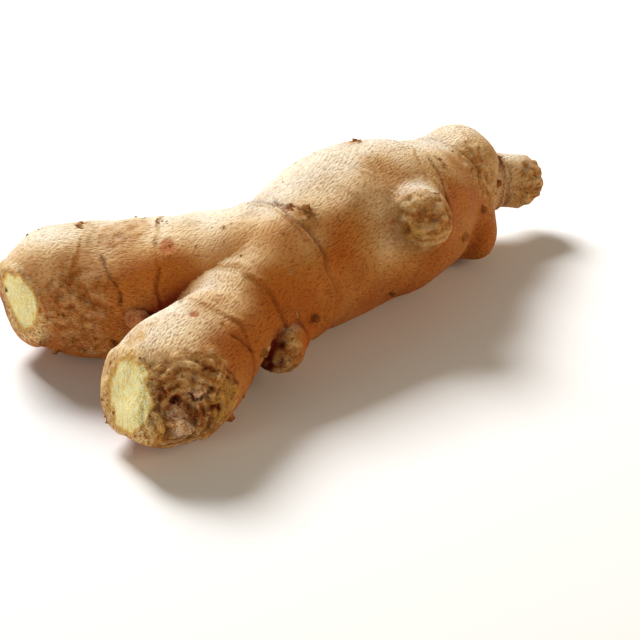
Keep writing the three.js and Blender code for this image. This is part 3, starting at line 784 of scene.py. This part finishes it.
# %% A material maker
class Maker:
    """A new material and the one method that adds its nodes."""

    def __init__(self, name):
        self.material = bpy.data.materials.new(name)
        self.material.use_nodes = True
        self.tree = self.material.node_tree
        self.tree.nodes.clear()

    def node(self, kind, settings=None, sockets=None, out=0):
        """A node of this kind. Returns a wire on its output named or numbered out."""
        made = self.tree.nodes.new(kind)
        for key, value in (settings or {}).items():
            if key == "stops":
                self.set_stops(made.color_ramp, value)
            else:
                setattr(made, key, value)
        for key, value in (sockets or {}).items():
            if isinstance(value, Wire):
                self.tree.links.new(value.socket, made.inputs[key])
            else:
                made.inputs[key].default_value = value
        return Wire(self, made.outputs[out]) if len(made.outputs) else made

    def set_stops(self, color_ramp, stops):
        """Gives a colour ramp its stops, each a place from 0 to 1 and a colour."""
        while len(color_ramp.elements) < len(stops):
            color_ramp.elements.new(0.5)
        for element, (place, colour) in zip(color_ramp.elements, stops):
            element.position, element.color = place, colour

    def attribute(self, name):
        """The number that each vertex holds under this name."""
        return self.node("ShaderNodeAttribute", {"attribute_name": name}, out="Fac")

    def noise(self, where, size, detail=2, roughness=0.5):
        """Blender's noise with blobs about as large as size, in the units of where."""
        sockets = {"Vector": where, "Scale": 1 / size, "Detail": detail, "Roughness": roughness}
        return self.node("ShaderNodeTexNoise", None, sockets, out="Fac")

    def mix(self, share, a, b, blend="MIX"):
        """Colour a where the share is 0 and the blend of a and b where it is 1."""
        settings = {"data_type": "RGBA", "blend_type": blend, "clamp_factor": True}
        return self.node("ShaderNodeMix", settings, {"Factor": share, 6: a, 7: b}, out=2)

    def ramp(self, value, low, high):
        """0 at low, 1 at high, and a smooth step between, also where low is the greater."""
        sockets = {"Value": value, "From Min": low, "From Max": high}
        return self.node("ShaderNodeMapRange", {"interpolation_type": "SMOOTHSTEP"}, sockets)

    def bump(self, height, strength, distance, normal=None):
        """A normal tilted by the slope of height, whose full range stands for distance in metres."""
        sockets = {"Height": height, "Strength": strength, "Distance": distance}
        if normal:
            sockets["Normal"] = normal
        return self.node("ShaderNodeBump", None, sockets)

    def finish(self, **sockets):
        """Ends the graph with a Principled shader whose sockets get these values, _ standing for a space."""
        named = {key.replace("_", " "): value for key, value in sockets.items()}
        shader = self.node("ShaderNodeBsdfPrincipled", None, named)
        self.node("ShaderNodeOutputMaterial", None, {"Surface": shader})
        return self.material


def tint(red, green, blue):
    """A screen's 0 to 255 as linear light: the share plus 0.055, over 1.055, to the power of 2.4, and a
    straight line near black."""
    share = np.array([red, green, blue]) / 255
    linear = np.where(share <= 0.04045, share / 12.92, ((share + 0.055) / 1.055) ** 2.4)
    return (*linear, 1.0)


print("light skin colour", [round(v, 3) for v in tint(226, 190, 140)])

# %% [markdown]
# ## The grain of the skin
# Under a lens the skin is covered with short fine wrinkles that run along each finger. They are too fine
# for the mesh, so they are a noise texture, drawn out by a Mapping node, and they feed a Bump node and
# paint shade into the creases and a highlight onto the ridges. An image texture would show a seam
# somewhere. Noise on Object coordinates has none.

# %% Grain
GRAIN_SIZE, GRAIN_STRETCH = 0.43, 2.8  # mm, and how many times longer than wide


def grain_noise(m, where):
    """Three noises, each drawn out along one finger, mixed by the shares that the vertices hold."""
    def drawn_out(axis):
        """The noise turned so that the axis lies along x, and squeezed there."""
        turn = -math.atan2(axis[1], axis[0])
        turned = m.node("ShaderNodeMapping", None, {"Vector": where, "Rotation": (0, 0, turn)})
        squeezed = m.node("ShaderNodeMapping", None, {"Vector": turned, "Scale": (1 / GRAIN_STRETCH, 1, 1)})
        return m.noise(squeezed, GRAIN_SIZE, 3)
    left, front = m.attribute("left_share"), m.attribute("front_share")
    return (1 - left - front) * drawn_out(GRAIN["trunk"]) + left * drawn_out(GRAIN["left"]) \
        + front * drawn_out(GRAIN["front"])


for name, axis in GRAIN.items():
    print("grain of", name, "at", round(math.degrees(math.atan2(axis[1], axis[0]))), "degrees")

# %% [markdown]
# ## Thin tan skin
# The skin is thin and matt. Painted light and shade make it nearly cream where it faces up and ochre
# brown on its flanks, and a colour ramp turns that mask into these tones. A multiplied tint paints shade
# into the creases of the grain, a painted highlight makes the ridges lighter where the skin faces up, and
# wide soft noise keeps every part from being even.

# %% Skin colours
# From the cream of painted light to the brown of painted shade.
SKIN_STOPS = [(0, tint(248, 236, 212)), (0.25, tint(236, 206, 160)), (0.5, tint(212, 166, 108)),
              (0.75, tint(196, 134, 66)), (1, tint(180, 92, 8))]


def skin_colour(m, mm, fine):
    """The ramp's tone by the painted light and shade and a wide noise, then mottled, then painted shade in
    the grain's creases and a painted highlight on its ridges where the skin faces up.
    """
    creases, ridges = m.ramp(fine, 0.5, 0.32), m.ramp(fine, 0.52, 0.7)
    broad, mottle, flank = m.noise(mm, 14, 3), m.noise(mm, 3.5, 4), m.attribute("stain")
    # Painted light and shade: the tone follows the flank mask.
    tone = flank * 0.9 + (broad - 0.5) * 0.4
    colour = m.node("ShaderNodeValToRGB", {"stops": SKIN_STOPS}, {"Fac": tone})
    colour = m.mix(m.ramp(mottle, 0.5, 0.8) * 0.3, colour, tint(176, 116, 60))
    # Painted shade in the creases of the grain.
    colour = m.mix(creases * 0.6, colour, tint(190, 136, 84), "MULTIPLY")
    # Painted highlight on the ridges of the grain, where the skin faces up.
    colour = m.mix(ridges * (1 - flank) * 0.3, colour, tint(255, 240, 214))
    return m.mix(m.attribute("peeled") * 0.85, colour, tint(178, 98, 40))


print("tones from pale to brown", len(SKIN_STOPS))

# %% [markdown]
# ## Bark, rims and dark lines
# Bark is painted brown in its creases as painted shade, and pale on its crests as a painted highlight.
# One attribute holds the crests, so that colour and shape agree. The rims of the scars are pale crumbs,
# and the curl of peel is pale too, partly its own colour and partly painted light that lifts it out of
# shade. Rings and cracks are dark, and the dried hollow and the folds between fingers get painted shade.

# %% Bark colours
# From painted shade in the creases to a painted highlight on the crests.
BARK_STOPS = [(0.1, tint(130, 70, 26)), (0.35, tint(180, 122, 62)), (0.65, tint(218, 172, 108)),
              (0.95, tint(240, 212, 164))]


def bark_over(m, colour, crumbs):
    """Over the skin: bark by its crests with painted shade and highlight, darker on the left finger, ochre,
    rims, the curl, dark lines, and painted shade in folds.
    """
    bark_share = m.attribute("bark")
    # Painted shade in the bark's creases and a painted highlight on its crests, by height.
    height = m.attribute("crest") * 0.65 + m.ramp(crumbs, 0.3, 0.7) * 0.35
    bark_colour = m.node("ShaderNodeValToRGB", {"stops": BARK_STOPS}, {"Fac": height})
    colour = m.mix(bark_share * 0.85, colour, bark_colour)
    colour = m.mix(bark_share * m.attribute("left_share") * 0.6, colour, tint(206, 160, 122), "MULTIPLY")
    colour = m.mix(m.attribute("ochre") * m.ramp(crumbs, 0.38, 0.55) * 0.8, colour, tint(214, 162, 74))
    colour = m.mix(m.attribute("rim") * m.ramp(crumbs, 0.35, 0.6), colour, tint(230, 198, 140))
    # The curl is pale, partly its own colour and partly painted light that lifts it out of shade.
    curl_colour = m.mix(m.ramp(crumbs, 0.4, 0.55), tint(212, 152, 104), tint(250, 220, 184))
    colour = m.mix(m.attribute("lump") * 0.85, colour, curl_colour)
    # Dark lines of rings and cracks. The crack attribute also carries painted shade in the dried hollow.
    lines = (m.attribute("ring_line") * 0.7 + m.attribute("crack") * 0.8).clamped()
    colour = m.mix(lines, colour, tint(98, 44, 16))
    # Painted shade: the folds between fingers are darkened to deep brown.
    return m.mix((m.attribute("fold") * 1.5).clamped(), colour, tint(112, 36, 8))


print("tones from crease to crest", len(BARK_STOPS))

# %% [markdown]
# ## Broken flesh and the whole skin material
# Where a finger was snapped off, the flesh is pale yellow with short fibres, and it dries to ochre at its
# edge. One material covers skin, bark and flesh, because on the root they run into each other. Three
# bumps follow one another: the grain, the crumbs of bark and rims, and the fibres. A little light passes
# under the skin, which keeps it from looking like stone.

# %% Flesh colours and the skin material
FLESH_STOPS = [(0.3, tint(240, 204, 118)), (0.45, tint(253, 234, 154)), (0.6, tint(255, 249, 202))]


def flesh_over(m, colour, flesh_share, fibres):
    """Over the rest: the fibres' yellow tones, ochre where the share of flesh falls off."""
    flesh_colour = m.node("ShaderNodeValToRGB", {"stops": FLESH_STOPS}, {"Fac": fibres})
    flesh_colour = m.mix(m.ramp(flesh_share, 0.95, 0.3), flesh_colour, tint(222, 172, 84))
    return m.mix(m.ramp(flesh_share, 0.02, 0.35), colour, flesh_colour)


def skin_material():
    """Skin, then bark, then flesh over each other as colours, with one chain of bumps for all three."""
    m = Maker("ginger_skin")
    place = m.node("ShaderNodeTexCoord", out="Object")
    mm = m.node("ShaderNodeMapping", None, {"Vector": place, "Scale": (1000, 1000, 1000)})
    flesh_share, bark_share, rim_share = m.attribute("flesh"), m.attribute("bark"), m.attribute("rim")
    fine, crumbs = grain_noise(m, mm), m.noise(mm, 0.9, 4, 0.6)
    fibres = m.noise(m.node("ShaderNodeMapping", None, {"Vector": mm, "Scale": (1, 1, 0.2)}), 0.5, 3, 0.6)
    colour = flesh_over(m, bark_over(m, skin_colour(m, mm, fine), crumbs), flesh_share, fibres)
    normal = m.bump(fine, 1, 0.0012)
    normal = m.bump(crumbs * (bark_share + rim_share * 0.6), 0.9, 0.0008, normal)
    normal = m.bump(fibres * flesh_share, 0.45, 0.0006, normal)
    rough = 0.5 + bark_share * 0.3 + m.noise(mm, 2, 3) * 0.12
    return m.finish(Base_Color=colour, Roughness=rough, Normal=normal, IOR=1.42, Specular_IOR_Level=0.14,
                    Subsurface_Weight=0.1, Subsurface_Radius=(1.0, 0.45, 0.12), Subsurface_Scale=0.002)


root.data.materials.append(skin_material())
print("materials", [material.name for material in bpy.data.materials])

# %% [markdown]
# ## Thin sheets
# Dry scales and loose flakes are thin sheets of dead skin. Planes with a Solidify modifier, scattered by
# a particle system, would look alike, but an export drops particles. Here a sheet is one function of two
# parameters, worked out for all its copies at once, and every copy is a closed shell.

# %% Sheets and their faces
def sheet_faces(rows, columns):
    """Quads of a closed sheet: the upper grid, the lower grid turned over, and a strip round the border."""
    grid = np.arange(rows * columns).reshape(rows, columns)
    upper = np.stack([grid[:-1, :-1], grid[:-1, 1:], grid[1:, 1:], grid[1:, :-1]], axis=-1).reshape(-1, 4)
    border = np.concatenate([grid[0], grid[1:, -1], grid[-1, -2::-1], grid[-2:0:-1, 0]])
    after = np.roll(border, -1)
    below = rows * columns
    strip = np.stack([border, border + below, after + below, after], axis=-1)
    return np.concatenate([upper, upper[:, ::-1] + below, strip])


def sheets(random, widths, lengths, lift, curl, rows, columns, thickness=0.16):
    """Thin tongues: x is half the width times u, less towards the tip; y is the length times v; z is the
    length times the sum of the lift times v squared and the curl times v times u squared. Random steps fray
    the edge, and the lower side lies a thickness below."""
    v, u = np.meshgrid(np.linspace(0, 1, rows), np.linspace(-1, 1, columns), indexing="ij")
    count = len(widths)
    fray = random.normal(0, 1, (count, rows, columns, 3)) * (0.07 * v + 0.04 * np.abs(u))[..., None]
    wide, long = np.asarray(widths)[:, None, None], np.asarray(lengths)[:, None, None]
    x = 0.5 * wide * (u * (1 - 0.55 * v**2.5) + random.normal(0, 0.25, (count, 1, 1)) * v)
    y = long * (v - 0.12 - 0.18 * v * u * u)
    z = long * (lift * v**2 + curl * v * u * u) - 0.1
    upper = np.stack([x, y, z], axis=-1) + fray * np.minimum(wide, long)[..., None]
    lower = upper - (0, 0, thickness)
    return np.concatenate([upper.reshape(count, -1, 3), lower.reshape(count, -1, 3)], axis=1)


print("faces of a small sheet", len(sheet_faces(4, 3)))

# %% [markdown]
# ## Stubs
# Buds and broken rootlets are stubs: a profile turned round a middle line. A Screw modifier would turn it
# for one stub, and every stub would be the same. Random factors on each ring make them all uneven here.

# %% Stubs and their faces
def stub_faces(rings, sides):
    """Quads round a stub, and a fan of triangles on its foot and on its tip."""
    grid = np.arange(rings * sides).reshape(rings, sides)
    beside = np.roll(grid, -1, axis=1)
    walls = np.stack([grid[:-1], beside[:-1], beside[1:], grid[1:]], axis=-1).reshape(-1, 4)
    foot, tip = rings * sides, rings * sides + 1
    ends = [np.stack([beside[0], grid[0], np.full(sides, foot)], axis=-1),
            np.stack([grid[-1], beside[-1], np.full(sides, tip)], axis=-1)]
    return walls, np.concatenate(ends)


def stubs(random, profile, radii, lengths, sides, rough):
    """Solids of revolution: x and y go round with the profile's radius, z goes up it, and random factors make
    each ring uneven. Each profile row is a share of the radius and a share of the length."""
    share, height = np.array(profile).T
    turn = np.linspace(0, 2 * np.pi, sides, endpoint=False)
    count = len(radii)
    uneven = 1 + rough * random.normal(0, 1, (count, len(share), sides))
    r = np.asarray(radii)[:, None, None] * share[:, None] * uneven
    wobble = 0.3 * rough * random.normal(0, 1, uneven.shape)
    z = np.asarray(lengths)[:, None, None] * (height[:, None] + wobble)
    walls = np.stack([r * np.cos(turn), r * np.sin(turn), z], axis=-1).reshape(count, -1, 3)
    ends = np.zeros((count, 2, 3))
    ends[:, 0, 2], ends[:, 1, 2] = np.outer(height[[0, -1]], lengths)
    return np.concatenate([walls, ends], axis=1)


print("faces of a rootlet", [len(group) for group in stub_faces(5, 9)])

# %% [markdown]
# ## Stand the small pieces on the skin
# A sheet or stub is made at the origin and has to stand on the skin. In Blender it could be an instance
# on a point, but the export keeps real meshes only. So each copy's corners are turned by three axes that
# come from the skin's normal and a heading, moved to their place, and all the copies become one mesh.

# %% Place the copies
def stood(shapes, places, normals, headings):
    """Each shape turned, x across the heading, y along it and z out of the skin, and moved to place."""
    z = unit(normals)
    x = unit(np.cross(headings, z))
    y = np.cross(z, x)
    turned = shapes[..., :1] * x[:, None] + shapes[..., 1:2] * y[:, None] + shapes[..., 2:] * z[:, None]
    return turned + np.asarray(places)[:, None]


def repeated(faces, count, corners):
    """The faces of count copies of a shape with that many corners, one copy after another."""
    return (faces + corners * np.arange(count)[:, None, None]).reshape(-1, faces.shape[1])


def tips(rows, columns, count):
    """An attribute for sheets: 0 at each foot and 1 at each tip."""
    return np.tile(np.repeat(np.linspace(0, 1, rows), columns), 2 * count)


def grounded(points):
    """All points as rows, with none below the surface that the root lies on."""
    rows = points.reshape(-1, 3).copy()
    rows[:, 2] = np.maximum(rows[:, 2], 0.02)
    return rows


print("a copy of the first face", repeated(sheet_faces(4, 3)[:1], 2, 24).tolist())

# %% [markdown]
# ## Dry scales on the rings
# Leaf scales once wrapped every ring, and brown shreds of them are left. Eight large ones are listed,
# where they break the outline. The small ones are drawn by a seeded random choice from the vertices
# on the rings' dark lines, so that they follow the rings wherever those run. Their tips point the way
# that the ring's limb grows.

# %% Scales
LARGE_SCALES = [  # foot, heading, width and length
    ((-9.3, -2.1, 35.3), (0.9, -0.2, 0), 4.6, 4.4), ((16.4, 20, 39.2), (0.95, 0.1, 0), 4.2, 4.2),
    ((-38, 11, 32), (0.8, -0.3, 0.1), 3, 2.4), ((-52, 22, 30.4), (-0.8, 0.4, 0), 3.4, 2.8),
    ((-28, -10.8, 28), (-0.7, -0.6, 0), 4, 3), ((34.5, 9, 34), (0.8, -0.1, 0.2), 4.4, 3.4),
    ((-57, 9, 6.5), (-0.8, 0.2, -0.3), 4, 3.2), ((20, 33, 25), (0.9, 0.2, 0), 4.4, 3.6),
]
LARGE_GRID, SMALL_GRID = (9, 8), (4, 3)  # rows and columns of a sheet
SMALL_SCALES = 44


def ring_headings(p):
    """The direction in which the nearest ring's limb runs, for each point."""
    best, heading = np.full(len(p), np.inf), np.tile([1.0, 0, 0], (len(p), 1))
    for limb in LIMBS.values():
        off_limb = np.abs(limb_distance(p, limb))
        for ring in limb.get("rings", ()):
            q, near = ring_place(p, ring)
            away = np.abs(q) + off_limb + 9 * (1 - near)
            heading[away < best] = ring["facing"]
            best = np.minimum(best, away)
    return heading


def drawn(random, weights, count):
    """Numbers of distinct vertices, each as likely as its weight."""
    return random.choice(len(weights), count, replace=False, p=weights / weights.sum())


random = np.random.default_rng(5)
feet = onto_skin(np.array([scale[0] for scale in LARGE_SCALES], float), 6)
shapes = sheets(random, [scale[2] for scale in LARGE_SCALES], [scale[3] for scale in LARGE_SCALES],
                0.04, 0.04, *LARGE_GRID)
headings = np.array([scale[1] for scale in LARGE_SCALES])
large = stood(shapes, feet, slope_at(feet, root_distance(feet)), headings)
not_below = skin_normals[:, 2] > -0.7
chosen = drawn(random, ring_line**2 * not_below, SMALL_SCALES)
widths, lengths = random.uniform(1.2, 3.4, SMALL_SCALES), random.uniform(0.9, 2.2, SMALL_SCALES)
small = stood(sheets(random, widths, lengths, 0.1, 0.05, *SMALL_GRID), root_points[chosen],
              skin_normals[chosen], ring_headings(root_points[chosen]))
large_faces = repeated(sheet_faces(*LARGE_GRID), len(large), large.shape[1])
small_faces = repeated(sheet_faces(*SMALL_GRID), len(small), small.shape[1]) + large[..., 0].size
scales = piece("dry_scales", np.concatenate([grounded(large), grounded(small)]), [large_faces, small_faces],
               {"tip": np.concatenate([tips(*LARGE_GRID, len(large)), tips(*SMALL_GRID, len(small))])})

# %% [markdown]
# ## Loose flakes
# The skin sheds small flakes, most of them from bark and from the rims of scars. Their places are drawn
# like the small scales', with the masks as weights. They point about the same way, with a wide random
# spread, because the root was brushed and washed along its length.

# %% Flakes
FLAKES = 180
chosen = drawn(random, (0.15 + bark + 2 * rim) * (1 - flesh) * not_below, FLAKES)
headings = random.normal(0, 1, (FLAKES, 3)) + (1.5, -0.8, 0)
widths, lengths = random.uniform(0.4, 1.2, FLAKES), random.uniform(0.4, 1.3, FLAKES)
flakes = stood(sheets(random, widths, lengths, 0.25, 0.15, *SMALL_GRID), root_points[chosen],
               skin_normals[chosen], headings)
flake_faces = repeated(sheet_faces(*SMALL_GRID), len(flakes), flakes.shape[1])
chips = piece("skin_flakes", grounded(flakes), [flake_faces], {"tip": tips(*SMALL_GRID, len(flakes))})

# %% [markdown]
# ## Buds
# A bud is a short cone of nested scales, each one a little narrower than the one below. The steps between
# them are in the profile, which would be harder to carve into a cone afterwards. Three buds are listed.

# %% Buds
BUDS = [  # foot, facing, radius and length
    ((-49.8, -0.4, 17.2), (0.05, -0.85, 0.3), 2.1, 4), ((17, 33.5, 22), (0.15, 0.9, 0.35), 2.2, 2.6),
    ((-28, 22, 18), (0.1, 0.98, 0.1), 1.8, 2.2),
]
BUD_PROFILE = [(1.25, -0.4), (1.3, 0), (1.18, 0.16), (1.02, 0.2), (1.05, 0.34), (1, 0.52), (0.84, 0.56),
               (0.84, 0.7), (0.72, 0.84), (0.45, 0.95), (0.2, 0.99)]
BUD_SIDES = 28


def stub_piece(name, shapes, rings, sides):
    """One object of many stubs. Its tip attribute runs from 0 at each foot to 1 at each tip."""
    faces = [repeated(group, len(shapes), shapes.shape[1]) for group in stub_faces(rings, sides)]
    along = np.tile(np.append(np.repeat(np.linspace(0, 1, rings), sides), (0, 1)), len(shapes))
    return piece(name, grounded(shapes), faces, {"tip": along})


feet = onto_skin(np.array([bud[0] for bud in BUDS], float), 6)
facings = np.array([bud[1] for bud in BUDS], float)
shapes = stubs(random, BUD_PROFILE, [bud[2] for bud in BUDS], [bud[3] for bud in BUDS], BUD_SIDES, 0.03)
bud_shapes = stood(shapes, feet, facings, np.tile([0.0, 0, 1], (len(BUDS), 1)))
buds = stub_piece("buds", bud_shapes, len(BUD_PROFILE), BUD_SIDES)

# %% [markdown]
# ## Rootlets
# The lower half of a rhizome carries thin roots, which break off and leave stubs. Their places come from
# a linear congruential generator, which multiplies, adds and keeps the remainder, and which gives the
# same numbers in any language. So the stubs stand just where the solid model has them. Those on a broken
# face are left out, because no root grows from one.

# %% Rootlets
ROOTLETS = 16
ROOTLET_PROFILE = [(1.5, -1), (1.2, 0.1), (0.95, 0.5), (0.85, 0.85), (0.5, 0.95)]
ROOTLET_RADIUS, ROOTLET_LENGTH, ROOTLET_SIDES = 0.95, 1.3, 9
MULTIPLIER, ADDED, REMAINDER_OF = 1664525, 1013904223, 2**32


def rootlet_places():
    """Random points on the lower half of the skin, each at least 7 mm from the others and above the feet."""
    state, places = 11, []
    limbs = [LIMBS[name]["points"] for name in ("trunk", "left_finger", "front_finger", "far_knob")]

    def random_share():
        """The next number from 0 to 1: the last one multiplied and added to, and its remainder taken."""
        nonlocal state
        state = (state * MULTIPLIER + ADDED) % REMAINDER_OF
        return state / REMAINDER_OF

    while len(places) < ROOTLETS:
        points = limbs[int(random_share() * len(limbs))]
        ball = points[int(random_share() * len(points))]
        turn, drop = random_share() * 2 * math.pi, 0.05 + 0.55 * random_share()
        out = np.array([math.cos(turn) * (1 - drop), math.sin(turn) * (1 - drop), -drop])
        p = onto_skin((ball[:3] + ball[3] * out)[None], 8)
        apart = all(np.linalg.norm(p[0] - q) > 7 for q in places)
        if abs(root_distance(p)[0]) < 0.05 and p[0, 2] > 3.5 and apart:
            places.append(p[0])
    return np.array(places)


feet = rootlet_places()
scars = [scar for limb in LIMBS.values() for scar in limb.get("scars", ())]
to_flesh = [np.linalg.norm(feet - scar["flesh_centre"], axis=1) - scar["flesh_radius"] for scar in scars]
feet = feet[np.min(to_flesh, axis=0) > 1.5]
radii, lengths = np.full(len(feet), ROOTLET_RADIUS), np.full(len(feet), ROOTLET_LENGTH)
shapes = stubs(random, ROOTLET_PROFILE, radii, lengths, ROOTLET_SIDES, 0.12)
headings = np.tile([0, 1, 0.2], (len(feet), 1))
rootlet_shapes = stood(shapes, feet, slope_at(feet, root_distance(feet)), headings)
rootlets = stub_piece("rootlets", rootlet_shapes, len(ROOTLET_PROFILE), ROOTLET_SIDES)

# %% [markdown]
# ## Dry skin and buds
# Scales, flakes, buds and rootlets are all dried skin, and they differ in little but their colours. One
# function makes each finish from a pale and a dark colour. The darkness grows towards the tip, where the
# sheet is thinnest and driest, and a fine noise gives it fibres.

# %% Finishes of the small pieces
def dry_material(name, pale, dark, at_tip):
    """Pale to dark by a share of the way to the tip, plus a cloudy noise, plus the dark sides of fibres."""
    m = Maker(name)
    place = m.node("ShaderNodeTexCoord", out="Object")
    mm = m.node("ShaderNodeMapping", None, {"Vector": place, "Scale": (1000, 1000, 1000)})
    fibres, cloud = m.noise(mm, 0.35, 3, 0.6), m.noise(mm, 2.2, 3)
    share = m.attribute("tip") * at_tip + m.ramp(cloud, 0.35, 0.7) * 0.5
    share = (share + m.ramp(fibres, 0.6, 0.4) * 0.35).clamped()
    colour = m.mix(share, pale, dark)
    return m.finish(Base_Color=colour, Roughness=0.6 + fibres * 0.25, Normal=m.bump(fibres, 0.8, 0.0006),
                    IOR=1.42, Specular_IOR_Level=0.1)


FINISHES = [  # the piece, its finish's name, the pale and the dark colour, and how much darker the tip is
    (scales, "dry_scale", tint(222, 182, 126), tint(170, 112, 60), 0.5),
    (chips, "skin_flake", tint(220, 178, 120), tint(150, 94, 46), 0.5),
    (buds, "bud_skin", tint(200, 136, 84), tint(124, 62, 30), 0.25),
    (rootlets, "rootlet_bark", tint(198, 136, 72), tint(134, 72, 26), 0.5),
]
for small_piece, name, pale, dark, at_tip in FINISHES:
    small_piece.data.materials.append(dry_material(name, pale, dark, at_tip))
print("finishes", [finish[1] for finish in FINISHES])

# %% [markdown]
# ## Floor and light
# A pale floor stands for a sheet of paper. The main lamp is above and behind the root, so that its upper
# sides are bright and its flanks are in soft shade. A warm lamp at the front right fills the flanks, a
# low lamp at the left lights the broken ends, and a faint warm world fills the rest. One lamp in front
# would be simpler, but it would flatten the relief.

# %% Floor and lamps
FLOOR_SIZE = 6  # metres
LAMPS = [  # name, place in metres, size, power and colour
    ("key", (-0.06, 0.70, 0.66), 0.36, 14.5, (1, 1, 1)),
    ("fill", (0.62, -0.66, 0.36), 0.5, 4, (1, 0.8, 0.54)),
    ("side", (-0.86, -0.2, 0.14), 0.3, 3.0, (1, 0.9, 0.74)),
]
LAMP_AIM = Vector((0, 0, 0.02))
bpy.ops.mesh.primitive_plane_add(size=FLOOR_SIZE)
floor = bpy.context.object
floor.name = "floor"
paper = Maker("pale_paper")
floor.data.materials.append(paper.finish(Base_Color=(0.86, 0.86, 0.86, 1), Roughness=0.9))
for name, place, size, power, colour in LAMPS:
    light = bpy.data.lights.new(name, "AREA")
    light.size, light.energy, light.color = size, power, colour
    lamp = bpy.data.objects.new(name, light)
    lamp.location = place
    lamp.rotation_euler = (LAMP_AIM - Vector(place)).to_track_quat("-Z", "Y").to_euler()
    bpy.context.scene.collection.objects.link(lamp)
world = bpy.data.worlds.new("studio")
world.use_nodes = True
world.node_tree.nodes["Background"].inputs["Color"].default_value = (1, 0.93, 0.82, 1)
world.node_tree.nodes["Background"].inputs["Strength"].default_value = 0.15
bpy.context.scene.world = world
bpy.context.scene.view_settings.view_transform = "Standard"
print("lamps", [row[0] for row in LAMPS])

# %% [markdown]
# ## Camera
# The camera looks down a little from the front left, so that both broken ends show. A long lens from
# farther away keeps the near finger from looking larger than it is. Its place is worked out from two
# angles and a distance, which are easier to change than three coordinates.

# %% Camera
AZIMUTH, ELEVATION = math.radians(-29), math.radians(28)
DISTANCE, LENS = 0.400, 100  # metres and millimetres
TARGET = (np.array([-14, -21, 17.5]) - ORIGIN) * MM
back = np.array([math.sin(AZIMUTH) * math.cos(ELEVATION), -math.cos(AZIMUTH) * math.cos(ELEVATION),
                 math.sin(ELEVATION)])
camera = bpy.data.objects.new("camera", bpy.data.cameras.new("camera"))
camera.data.lens, camera.data.clip_start = LENS, 0.01
camera.location = Vector(TARGET + DISTANCE * back)
camera.rotation_euler = Vector(-back).to_track_quat("-Z", "Y").to_euler()
bpy.context.scene.collection.objects.link(camera)
bpy.context.scene.camera = camera
print("camera at", [round(v, 3) for v in camera.location], "m")
